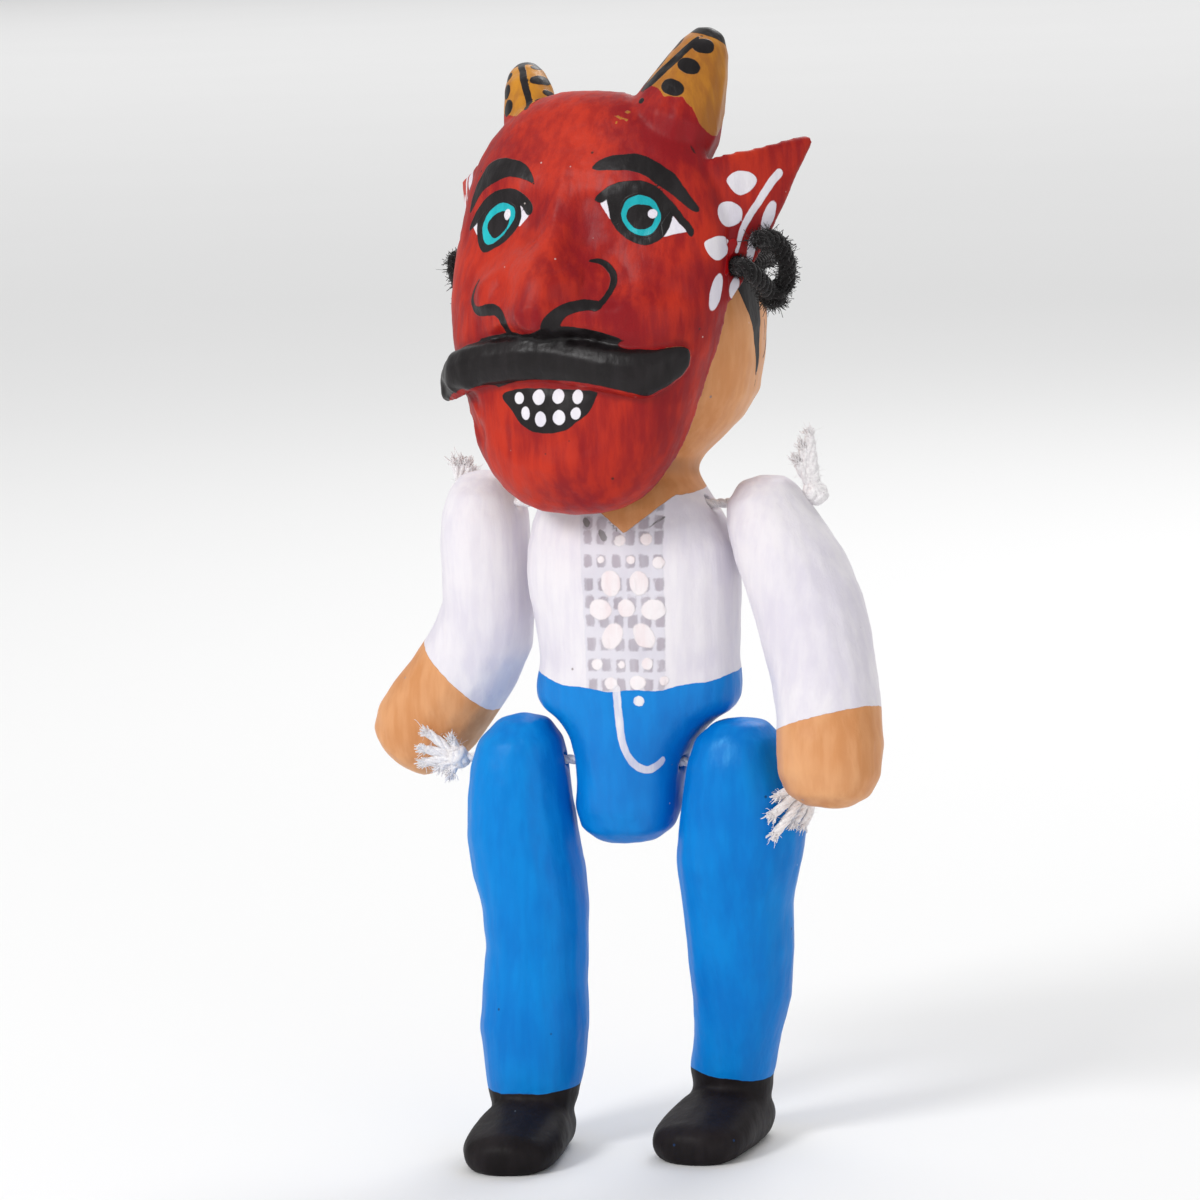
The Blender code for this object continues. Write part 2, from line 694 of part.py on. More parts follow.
def horn(rows):
    """One horn of the mask."""
    curve = read_rows(rows, HORN_RINGS)
    line = np.array(rows, dtype=float)[:, :3]
    side, deep = square_frame(Vector(line[-1] - line[0]), Vector((1.0, 0.0, 0.0)))
    loops = []
    for across, up, out, wide in curve[1:-1]:
        middle = Vector((across, up, out))
        section = [middle + (side * a + deep * b) * wide for a, b in oval(HORN_SIDES, 2.0)]
        loops.append([mask_place(*point) for point in section])
    return solid("horn", loops, mask_place(*curve[0, :3]), mask_place(*curve[-1, :3]))


def ear(rows):
    """One ear of the mask, a leaf swept back from the face's side."""
    curve = read_rows(rows, EAR_RINGS)
    section = oval(EAR_SIDES, EAR_SQUARENESS)
    half = 0.5 * EAR_THICKNESS / PART
    loops = []
    for k, (across, up, out, high) in enumerate(curve):
        ahead = curve[min(k + 1, len(curve) - 1)] - curve[max(k - 1, 0)]
        along = Vector((ahead[0], 0.0, ahead[2])).normalized()
        face = Vector((-along[2], 0.0, along[0]))
        middle = Vector((across, up, out))
        loop = [middle + Vector((0.0, high * b, 0.0)) + face * (half * a) for a, b in section]
        loops.append([mask_place(*point) for point in loop])
    return solid("ear", loops, None, None)


def face_out(across, up):
    """How far out the face stands at a point, with its features."""
    edge_up = MASK_TOP if up > 0 else MASK_CHIN
    shares = np.abs((across / MASK_HALF_WIDTH, up / edge_up)) ** MASK_JAW_SQUARENESS
    share = min(MASK_FACE_LIMIT, float(shares.sum()) ** (1.0 / MASK_JAW_SQUARENESS))
    return dome_out(up, share) + mask_relief(across, up)


def moustache():
    """The moustache as a raised roll that follows the face."""
    curve = read_rows(MOUSTACHE_ROWS, MOUSTACHE_RINGS, middles=2)
    middles = [
        Vector((across, up, face_out(across, up) + MOUSTACHE_RISE - MOUSTACHE_DEEP))
        for across, up, _ in curve
    ]
    section = oval(MOUSTACHE_SIDES, MOUSTACHE_SQUARENESS)
    thickest = max(row[-1] for row in MOUSTACHE_ROWS)
    loops = []
    for middle, (_, _, high) in list(zip(middles, curve))[1:-1]:
        deep = MOUSTACHE_DEEP * high / thickest
        loop = [middle + Vector((0.0, high * a, deep * b)) for a, b in section]
        loops.append([mask_place(*point) for point in loop])
    return solid("moustache", loops, mask_place(*middles[0]), mask_place(*middles[-1]))


def tie_hole(side, along):
    """Point on the line of the tie's hole in one ear, a distance along it from its middle."""
    across, up, out = (Vector(TIE_HOLE) + Vector(TIE_HOLE_FACING) * along)[:]
    return mask_place(side * across, up, out)


def mask():
    """The hollow face with its horns, ears and moustache."""
    made = mask_face()
    for addition in (
        ear(LEFT_EAR_ROWS),
        ear(RIGHT_EAR_ROWS),
        horn(LEFT_HORN_ROWS),
        horn(RIGHT_HORN_ROWS),
        moustache(),
    ):
        combine(made, addition, "UNION")
    for side in (1, -1):
        ends = [tie_hole(side, along) for along in (-TIE_HOLE_REACH, TIE_HOLE_REACH)]
        drill(made, *ends, YARN_RADIUS)
    finish(made, RED)


def head_wrap():
    """Where the yarn runs round the back of the head, from the doll's left to its right."""
    heights = [row[2] for row in BODY_ROWS]
    middle_y, wide, deep = (
        np.interp(TIE_HEIGHT, heights, [row[column] for row in BODY_ROWS]) for column in (1, 3, 4)
    )
    lie = (YARN_RADIUS + 2.0 * SEAT_GAP) / PART
    return [
        Vector(((wide + lie) * a, middle_y + (deep + lie) * b, TIE_HEIGHT)) * PART
        for a, b in (oval_point(radians(turn), BODY_SQUARENESS) for turn in TIE_TURNS)
    ]


def mask_tie():
    """Black yarn through both ears and round the back of the head."""
    left = [Vector(point) * PART for point in LEFT_EAR_WRAP]
    right = [Vector(point) * PART for point in RIGHT_EAR_WRAP]
    points = [left[1], left[0]] + [tie_hole(1, along) for along in TIE_THROUGH]
    points += head_wrap()
    points += [tie_hole(-1, along) for along in reversed(TIE_THROUGH)] + [right[0], right[1]]
    run = smooth_path(points, 2 * len(points))
    made = tube("mask_tie", run, [YARN_RADIUS] * len(run))
    loop = smooth_path([Vector(point) * PART for point in LEFT_LOOP], LOOP_STEPS)
    combine(made, tube("loop", loop, [YARN_RADIUS] * len(loop)), "UNION")
    for knot in (left[1], right[1]):
        combine(made, ball("knot", knot, YARN_KNOT_RADIUS), "UNION")
    finish(made, YARN)


def centre_over_origin():
    """Move every piece alike, so that the middle of the doll's box lies over the origin."""
    things = list(bpy.context.scene.objects)
    spots = [vertex.co for thing in things for vertex in thing.data.vertices]
    middle = [0.5 * (min(c[axis] for c in spots) + max(c[axis] for c in spots)) for axis in (0, 1)]
    for thing in things:
        thing.data.transform(Matrix.Translation((-middle[0], -middle[1], 0.0)))


def main():
    """Model every piece."""
    clear_scene()
    body()
    left_shoulder = arm("left_arm", LEFT_ARM_ROWS, LEFT_ARM_BEND, LEFT_ARM_WAY_OUT)
    right_shoulder = arm("right_arm", RIGHT_ARM_ROWS, RIGHT_ARM_BEND, RIGHT_ARM_WAY_OUT)
    left_hip = leg("left_leg", LEFT_LEG_ROWS, LEFT_ANKLE, LEFT_SHOE_TURN, (1.0, 0.0, 0.0))
    right_hip = leg("right_leg", RIGHT_LEG_ROWS, RIGHT_ANKLE, RIGHT_SHOE_TURN, (-1.0, 0.0, 0.0))
    mask()
    bends = [Vector(bend) * PART for bend in (LEFT_ARM_BEND, RIGHT_ARM_BEND)]
    shoulder_route = [left_shoulder, *bends, right_shoulder]
    white_cord("shoulder_cord", shoulder_route, ("shoulder left", "shoulder right"))
    white_cord("hip_cord", [left_hip, right_hip], ("hip left", "hip right"))
    mask_tie()
    centre_over_origin()


main()
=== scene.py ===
"""Papier-mache doll in a tied-on devil mask, dressed in its paint, string and yarn.

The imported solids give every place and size. Each moulded piece is remade as a fine mesh with its
hand-made lumps, and every painted shape is kept on it as a distance in millimetres, which its
acrylic reads. The string and the yarn are spun strand by strand along the solids' own routes, and
the string's loose ends lie where the photograph shows them.
Positions on the doll are in millimetres from the ground under its head, facing -Y.
"""

import json
import logging
import math
from dataclasses import dataclass, field
from enum import Enum

import bmesh
import bpy
import numpy as np
from mathutils import Matrix, Vector, noise

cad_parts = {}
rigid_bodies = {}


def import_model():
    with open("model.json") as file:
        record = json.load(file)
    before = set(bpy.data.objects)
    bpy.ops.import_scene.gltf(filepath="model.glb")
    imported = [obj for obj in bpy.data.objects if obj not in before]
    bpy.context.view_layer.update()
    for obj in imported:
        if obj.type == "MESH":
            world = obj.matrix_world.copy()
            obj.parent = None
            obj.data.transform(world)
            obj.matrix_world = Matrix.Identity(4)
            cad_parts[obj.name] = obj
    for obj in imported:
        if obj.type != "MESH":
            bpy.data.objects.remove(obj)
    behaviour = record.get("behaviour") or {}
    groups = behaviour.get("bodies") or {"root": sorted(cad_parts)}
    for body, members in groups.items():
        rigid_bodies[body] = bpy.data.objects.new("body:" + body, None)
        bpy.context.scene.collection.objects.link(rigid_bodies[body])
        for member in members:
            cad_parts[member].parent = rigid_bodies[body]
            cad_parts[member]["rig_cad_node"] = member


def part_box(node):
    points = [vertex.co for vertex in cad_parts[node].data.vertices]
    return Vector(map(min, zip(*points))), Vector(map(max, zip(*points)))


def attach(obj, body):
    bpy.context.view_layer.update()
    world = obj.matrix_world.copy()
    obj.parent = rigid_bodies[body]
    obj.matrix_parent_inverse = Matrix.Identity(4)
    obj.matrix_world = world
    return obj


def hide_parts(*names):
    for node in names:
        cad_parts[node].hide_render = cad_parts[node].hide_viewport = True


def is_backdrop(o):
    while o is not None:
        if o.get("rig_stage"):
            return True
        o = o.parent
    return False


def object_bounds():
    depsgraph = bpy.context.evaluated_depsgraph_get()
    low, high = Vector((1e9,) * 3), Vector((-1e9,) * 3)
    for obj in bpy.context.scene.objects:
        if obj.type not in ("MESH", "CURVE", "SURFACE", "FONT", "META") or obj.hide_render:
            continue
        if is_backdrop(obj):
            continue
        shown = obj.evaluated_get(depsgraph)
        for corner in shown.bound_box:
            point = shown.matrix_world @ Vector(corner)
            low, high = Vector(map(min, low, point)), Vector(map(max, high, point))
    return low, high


LOG = logging.getLogger("doll")
Colour = tuple[float, float, float]
Triple = tuple[float, float, float]
Points = list[tuple[float, ...]]

# Millimetres in a metre.
METRE = 1000.0
# The crown of the head and the middle of the mask, on the doll, and how the mask is turned there.
CROWN = Vector((0.0, 6.5, 172.0))
MASK_CENTRE = Vector((-3.5, -6.5, 150.5))
MASK_TURN = Matrix.Rotation(math.radians(-10.0), 3, "Z") @ Matrix.Rotation(math.radians(1.0), 3, "Y")


def paint(code: str) -> Colour:
    """Linear colour of a mixed paint.

    Args:
        code: The colour as six hexadecimal digits, as it looks on a screen.

    Returns:
        The red, green and blue shares of light.
    """
    shares = [int(code[at : at + 2], 16) / 255.0 for at in (0, 2, 4)]
    return tuple(s / 12.92 if s <= 0.04045 else ((s + 0.055) / 1.055) ** 2.4 for s in shares)


class Value:
    """A number in a material, on which Python's own operators work."""

    def __init__(self, book: "Recipe", socket: bpy.types.NodeSocket) -> None:
        """Wrap the socket that gives the number."""
        self.book = book
        self.socket = socket

    def _math(self, operation: str, *others: "Value | float", swap: bool = False) -> "Value":
        """Add one Math node.

        Args:
            operation: The node's operation.
            others: The other numbers.
            swap: True puts the first other number before this one.

        Returns:
            The node's result.
        """
        values = [self, *others]
        if swap:
            values[0], values[1] = values[1], values[0]
        node = self.book.node("ShaderNodeMath", {"operation": operation}, dict(enumerate(values)))
        return Value(self.book, node.outputs[0])

    def __add__(self, other: "Value | float") -> "Value":
        """Sum."""
        return self._math("ADD", other)

    __radd__ = __add__

    def __sub__(self, other: "Value | float") -> "Value":
        """Difference."""
        return self._math("SUBTRACT", other)

    def __rsub__(self, other: float) -> "Value":
        """Difference from a plain number."""
        return self._math("SUBTRACT", other, swap=True)

    def __mul__(self, other: "Value | float") -> "Value":
        """Product."""
        return self._math("MULTIPLY", other)

    __rmul__ = __mul__

    def rise(self, start: float, end: float, low: float = 0.0, high: float = 1.0) -> "Value":
        """Go smoothly from one number to another.

        Args:
            start: Where the rise starts.
            end: Where it ends.
            low: The result up to the start.
            high: The result from the end.

        Returns:
            The risen number.
        """
        settings = {"interpolation_type": "SMOOTHSTEP"}
        inputs = {"Value": self, "From Min": start, "From Max": end, "To Min": low, "To Max": high}
        return Value(self.book, self.book.node("ShaderNodeMapRange", settings, inputs).outputs[0])


class Recipe:
    """One procedural material while it is being mixed."""

    def __init__(self, name: str) -> None:
        """Start from an empty material with one Principled shader.

        Args:
            name: The material's name.
        """
        self.material = bpy.data.materials.new(name)
        self.material.use_nodes = True
        self.tree = self.material.node_tree
        self.shader = self.tree.nodes["Principled BSDF"]
        self.here = self.node("ShaderNodeTexCoord", {}, {}).outputs["Object"]

    def node(self, kind: str, settings: dict, inputs: dict) -> bpy.types.Node:
        """Add one node.

        Args:
            kind: The node's type.
            settings: Its own properties, set before its sockets.
            inputs: Its sockets by name or number, each a value, a socket or a plain number.

        Returns:
            The node.
        """
        node = self.tree.nodes.new(kind)
        for name, setting in settings.items():
            setattr(node, name, setting)
        for name, value in inputs.items():
            if isinstance(value, Value):
                value = value.socket
            if isinstance(value, bpy.types.NodeSocket):
                self.tree.links.new(value, node.inputs[name])
            else:
                node.inputs[name].default_value = value
        return node

    def distance(self, name: str) -> Value:
        """Distance inside a painted shape, in millimetres, as the mesh keeps it."""
        node = self.node("ShaderNodeAttribute", {"attribute_name": name}, {})
        return Value(self, node.outputs["Fac"])

    def grain(self, size: float, detail: float = 2.0, stretch: Triple | None = None) -> Value:
        """Cloudy noise from 0 to 1.

        Args:
            size: The clouds' size in millimetres.
            detail: How many finer layers it has.
            stretch: Shares of the size along X, Y and Z, or None for round clouds.

        Returns:
            The noise.
        """
        place = self.here
        if stretch:
            scale = {"Vector": place, "Scale": stretch}
            place = self.node("ShaderNodeMapping", {}, scale).outputs["Vector"]
        inputs = {"Vector": place, "Scale": METRE / size, "Detail": detail, "Roughness": 0.55}
        return Value(self, self.node("ShaderNodeTexNoise", {}, inputs).outputs["Fac"])

    def specks(self, spacing: float, size: float) -> Value:
        """Scattered round specks.

        Args:
            spacing: Distance between them in millimetres.
            size: Each one's radius as a share of the spacing.

        Returns:
            One on a speck and nought off it.
        """
        inputs = {"Vector": self.here, "Scale": METRE / spacing}
        cells = self.node("ShaderNodeTexVoronoi", {"feature": "F1"}, inputs)
        return Value(self, cells.outputs["Distance"]).rise(size * 1.4, size * 0.6)

    def mix(
        self, share: "Value | float", under: object, over: object, blend: str = "MIX"
    ) -> bpy.types.NodeSocket:
        """Mix two colours.

        Args:
            share: How much of the second one shows.
            under: The first colour or socket.
            over: The second colour or socket.
            blend: The Mix node's blend type.

        Returns:
            The mixed colour's socket.
        """
        sides = [(*c, 1.0) if isinstance(c, tuple) else c for c in (under, over)]
        settings = {"data_type": "RGBA", "blend_type": blend}
        node = self.node("ShaderNodeMix", settings, {0: share, 6: sides[0], 7: sides[1]})
        return node.outputs[2]

    def finish(
        self, colour: object, roughness: "Value | float", height: Value, depth: float
    ) -> bpy.types.Material:
        """Join the results to the shader.

        Args:
            colour: Base colour socket.
            roughness: Roughness.
            height: The relief, in millimetres.
            depth: The Bump node's strength.

        Returns:
            The material.
        """
        inputs = {"Height": height, "Distance": 1.0 / METRE, "Strength": depth}
        bump = self.node("ShaderNodeBump", {}, inputs)
        self.tree.links.new(bump.outputs["Normal"], self.shader.inputs["Normal"])
        self.tree.links.new(colour, self.shader.inputs["Base Color"])
        if isinstance(roughness, Value):
            self.tree.links.new(roughness.socket, self.shader.inputs["Roughness"])
        else:
            self.shader.inputs["Roughness"].default_value = roughness
        return self.material


@dataclass(frozen=True)
class Coat:
    """One colour of acrylic that lies where its distance on the mesh is above nought.

    Its edge wanders by the ragged width and blends over the soft one, both in millimetres. The sheer
    share lets the ground show between the brush's streaks, and its thickness stands out as relief.
    """

    shape: str
    light: Colour
    dark: Colour
    roughness: float = 0.42
    ragged: float = 0.16
    soft: float = 0.07
    sheer: float = 0.0
    thick: float = 0.05


@dataclass(frozen=True)
class Acrylic:
    """Acrylic brushed by hand on papier-mache: a ground colour, with painted shade in its creases and a
    painted highlight on its ridges, and the coats over it.

    The sizes of its clouds, streaks, ragged edges and relief are in millimetres, and so are the
    distances between its dark speckles and between its pale flecks, whose radii are shares of them.
    """

    name: str
    light: Colour
    dark: Colour
    coats: tuple[Coat, ...]
    roughness: float = 0.42
    gloss: float = 0.24
    brush: Triple = (1.0, 1.0, 0.16)
    cloud_size: float = 17.0
    streak_size: float = 1.7
    edge_size: float = 1.5
    grit_size: float = 0.8
    lump_size: float = 4.5
    speckle_spacing: float = 7.0
    speckle_share: float = 0.035
    fleck_spacing: float = 6.3
    fleck_share: float = 0.026
    speckle: Colour = (0.02, 0.012, 0.01)
    fleck: Colour = (0.8, 0.72, 0.68)
    # The colours of the ground's painted shade in creases and of its painted highlight on ridges.
    painted_shading: Colour = (0.2, 0.004, 0.006)
    ridge_highlight: Colour = (0.66, 0.065, 0.02)

    def mixed(self) -> bpy.types.Material:
        """Mix the material.

        Returns:
            The material.
        """
        book = Recipe(self.name)
        cloud = book.grain(self.cloud_size).rise(0.36, 0.64)
        streak = book.grain(self.streak_size, 3.0, self.brush).rise(0.3, 0.7)
        # The tone mixes each paint's lighter and darker mix at random and, on the mask, also as painted
        # light and shade.
        tone = (cloud * 0.5 + streak * 0.38 + book.distance("painted_light_and_shade")).rise(-0.05, 1.0)
        wander = (book.grain(self.edge_size) - 0.5) * 2.0
        colour = book.mix(tone, self.dark, self.light)
        # Painted shade in creases and a painted highlight on ridges, both read from the surface's bend.
        crease_shade = book.distance("painted_shading").rise(0.02, 0.16)
        colour = book.mix(crease_shade * 0.75, colour, self.painted_shading)
        ridge_highlight_share = book.distance("painted_shading").rise(-0.03, -0.22)
        colour = book.mix(ridge_highlight_share * tone * 0.3, colour, self.ridge_highlight)
        sheen = streak * 0.1 + (self.roughness - 0.05)
        grit = book.grain(self.grit_size) * 0.035
        relief = streak * 0.04 + grit + book.grain(self.lump_size) * 0.2
        for coat in self.coats:
            inside = (book.distance(coat.shape) + wander * coat.ragged).rise(-coat.soft, coat.soft)
            cover = inside
            if coat.sheer:
                cover = inside * (1.0 - (1.0 - streak) * coat.sheer)
            own = book.mix(tone, coat.dark, coat.light)
            colour = book.mix(cover, colour, own)
            sheen = sheen * (1.0 - inside) + inside * (coat.roughness + streak * 0.08 - 0.04)
            relief = relief + inside * coat.thick
        book.shader.inputs["Specular IOR Level"].default_value = self.gloss
        dots = book.specks(self.speckle_spacing, self.speckle_share)
        colour = book.mix(dots * 0.8, colour, self.speckle)
        flecks = book.specks(self.fleck_spacing, self.fleck_share)
        colour = book.mix(flecks * 0.5, colour, self.fleck)
        relief = relief - dots * 0.06 + flecks * 0.05
        return book.finish(colour, sheen, relief, 0.9)


@dataclass(frozen=True)
class Fibre:
    """Soft fibre, spun: string or yarn, with the sizes of its tones and its relief in millimetres."""

    name: str
    light: Colour
    dark: Colour
    sheen: float
    roughness: float = 0.95
    gloss: float = 0.2
    tone_size: float = 0.5
    relief_size: float = 0.18

    def mixed(self) -> bpy.types.Material:
        """Mix the material.

        Returns:
            The material.
        """
        book = Recipe(self.name)
        tone = book.grain(self.tone_size, 3.0).rise(0.25, 0.75)
        colour = book.mix(tone, self.dark, self.light)
        book.shader.inputs["Sheen Weight"].default_value = self.sheen
        book.shader.inputs["Sheen Roughness"].default_value = 0.5
        book.shader.inputs["Specular IOR Level"].default_value = self.gloss
        return book.finish(colour, self.roughness, book.grain(self.relief_size) * 0.08, 0.8)


# Each paint is a lighter and a darker mix. The tone mixes them at random and, on the mask, as painted
# light and shade.
BLACK = (paint("221D1F"), paint("130F10"))
WHITE = (paint("EBE7EB"), paint("DBD6E1"))
RED = (paint("BE2C13"), paint("870812"))
GOLD = (paint("CC8A24"), paint("A06426"))
TEAL = (paint("1FBBC2"), paint("0F9CA6"))
SKIN = (paint("E0A474"), paint("CE8C58"))
BLUE = (paint("0084D6"), paint("0073C7"))

MASK_PAINT = Acrylic(
    "mask acrylic",
    *RED,
    (
        Coat("raw", paint("A98B66"), paint("7C6142"), 0.85, ragged=0.9, soft=0.25, thick=-0.05),
        Coat("gold", *GOLD, 0.34, ragged=0.3),
        Coat("white_under", *WHITE, 0.4, ragged=0.1),
        Coat("teal", *TEAL, 0.38, ragged=0.14),
        Coat("black", *BLACK, 0.4, ragged=0.14),
        Coat("white_over", *WHITE, 0.4, ragged=0.12, thick=0.09),
        Coat("blot", paint("C21F22"), paint("A81016"), 0.2, ragged=0.15, thick=0.16),
    ),
    roughness=0.48,
)
BODY_PAINT = Acrylic(
    "body acrylic",
    *SKIN,
    (
        Coat("shirt", *WHITE, 0.5, ragged=0.2, thick=0.08),
        Coat("bib", paint("DDDAE3"), paint("CBC8D3"), 0.5, ragged=0.25, soft=0.2, sheer=0.5),
        Coat("cells", paint("B5ACB6"), paint("958D98"), 0.5, ragged=0.34, soft=0.2, sheer=0.45),
        Coat("collar", paint("7E7B7A"), paint("6B6869"), 0.5, ragged=0.1, sheer=0.3),
        Coat("dots", paint("F1ECEE"), paint("EADADC"), 0.45, ragged=0.24, soft=0.16, thick=0.12),
        Coat("trousers", *BLUE, 0.4, ragged=0.16, thick=0.09),
        Coat("fly", *WHITE, 0.45, ragged=0.16, sheer=0.3, thick=0.06),
        Coat("features", paint("7A3A22"), paint("5E2A1A"), 0.45, ragged=0.1),
        Coat("hair", *BLACK, 0.42, ragged=0.18, thick=0.07),
    ),
    # Warm brown painted shade in creases and a pale painted highlight on ridges.
    painted_shading=(0.42, 0.19, 0.09),
    ridge_highlight=(0.8, 0.45, 0.22),
    speckle=(0.25, 0.2, 0.2),
    fleck=(0.9, 0.62, 0.55),
)
ARM_PAINT = Acrylic(
    "sleeve acrylic",
    *SKIN,
    (Coat("sleeve", *WHITE, 0.5, ragged=0.2, thick=0.1),),
    # Warm brown painted shade in creases and a pale painted highlight on ridges.
    painted_shading=(0.42, 0.19, 0.09),
    ridge_highlight=(0.8, 0.45, 0.22),
    speckle=(0.35, 0.3, 0.3),
    fleck=(0.9, 0.62, 0.55),
)
LEG_PAINT = Acrylic(
    "trouser acrylic",
    *BLUE,
    (
        Coat("scuff", paint("58AEE8"), paint("2A8EDA"), 0.48, ragged=1.1, soft=0.9, sheer=0.85, thick=0.0),
        Coat("shoe", *BLACK, 0.52, ragged=0.18, thick=0.04),
    ),
    gloss=0.13,
    # Deep blue painted shade in creases and a pale blue painted highlight on ridges.
    painted_shading=(0.0, 0.07, 0.34),
    ridge_highlight=(0.01, 0.32, 0.72),
    speckle=(0.01, 0.04, 0.12),
    fleck=(0.6, 0.75, 0.9),
)
COTTON = Fibre("white cotton", paint("FAF8F8"), paint("E4E0E2"), 0.4)
YARN = Fibre("black yarn", paint("1E1A1B"), paint("070606"), 0.25)


class Ink:
    """Painted shapes as distances on a flat map, above nought inside them, in millimetres."""

    def __init__(self, across: np.ndarray, up: np.ndarray) -> None:
        """Take the two coordinates of every vertex on the map."""
        self.spots = np.stack([across, up], 1)

    @staticmethod
    def rounded(points: Points, closed: bool, steps: int = 5) -> np.ndarray:
        """Points along a smooth curve through a few chosen ones.

        Args:
            points: The chosen ones, each a row of any width.
            closed: True joins the last to the first.
            steps: How many stretches lie between two of them.

        Returns:
            The curve's points, one a row.
        """
        rows = np.array(points, float)
        count = len(rows)
        last = count if closed else count - 1
        found = []
        for k in range(last):
            near = np.arange(k - 1, k + 3)
            p, a, b, n = rows[near % count if closed else np.clip(near, 0, count - 1)]
            for t in np.arange(steps) / steps:
                found.append(
                    a + 0.5 * t * (b - p + t * (2 * p - 5 * a + 4 * b - n + t * (3 * (a - b) + n - p)))
                )
        if not closed:
            found.append(rows[-1])
        return np.array(found)

    def stroke(self, path: Points, smooth: bool = True) -> np.ndarray:
        """A brush stroke.

        Args:
            path: Across, up and half width at each of its points.
            smooth: False keeps the path's corners.

        Returns:
            Distance inside the stroke.
        """
        rows = self.rounded(path, closed=False) if smooth else np.array(path, float)
        best = np.full(len(self.spots), -1e3)
        for start, end in zip(rows, rows[1:]):
            course = end[:2] - start[:2]
            share = (self.spots - start[:2]) @ course / max(course @ course, 1e-9)
            share = np.clip(share, 0.0, 1.0)
            gap = np.linalg.norm(self.spots - start[:2] - share[:, None] * course, axis=1)
            best = np.maximum(best, start[2] + share * (end[2] - start[2]) - gap)
        return best

    def patch(self, outline: Points, smooth: bool = True) -> np.ndarray:
        """A filled shape.

        Args:
            outline: Its points across and up, in order.
            smooth: False keeps its corners.

        Returns:
            Distance inside the shape.
        """
        rows = self.rounded(outline, closed=True) if smooth else np.array(outline, float)
        gap = np.full(len(self.spots), 1e3)
        within = np.zeros(len(self.spots), bool)
        across, up = self.spots.T
        for start, end in zip(rows, np.roll(rows, -1, axis=0)):
            course = end - start
            share = np.clip((self.spots - start) @ course / max(course @ course, 1e-9), 0.0, 1.0)
            gap = np.minimum(gap, np.linalg.norm(self.spots - start - share[:, None] * course, axis=1))
            level = (start[1] > up) != (end[1] > up)
            height = end[1] - start[1] or 1e-9
            within ^= level & (across < start[0] + (up - start[1]) * course[0] / height)
        return np.where(within, gap, -gap)

    def dot(self, across: float, up: float, wide: float, tall: float, lean: float = 0.0) -> np.ndarray:
        """An oval dot.

        Args:
            across: Its centre's place across.
            up: Its centre's place up.
            wide: Its half width.
            tall: Its half height.
            lean: How far it is turned anticlockwise, in degrees.

        Returns:
            Distance inside the dot.
        """
        turn = math.radians(lean)
        away = self.spots - np.array([across, up])
        a = away @ np.array([math.cos(turn), math.sin(turn)])
        b = away @ np.array([-math.sin(turn), math.cos(turn)])
        return (1.0 - np.hypot(a / wide, b / tall)) * min(wide, tall)

    def dots(self, rows: Points) -> np.ndarray:
        """Several dots as one shape."""
        return np.max([self.dot(*row) for row in rows], axis=0)


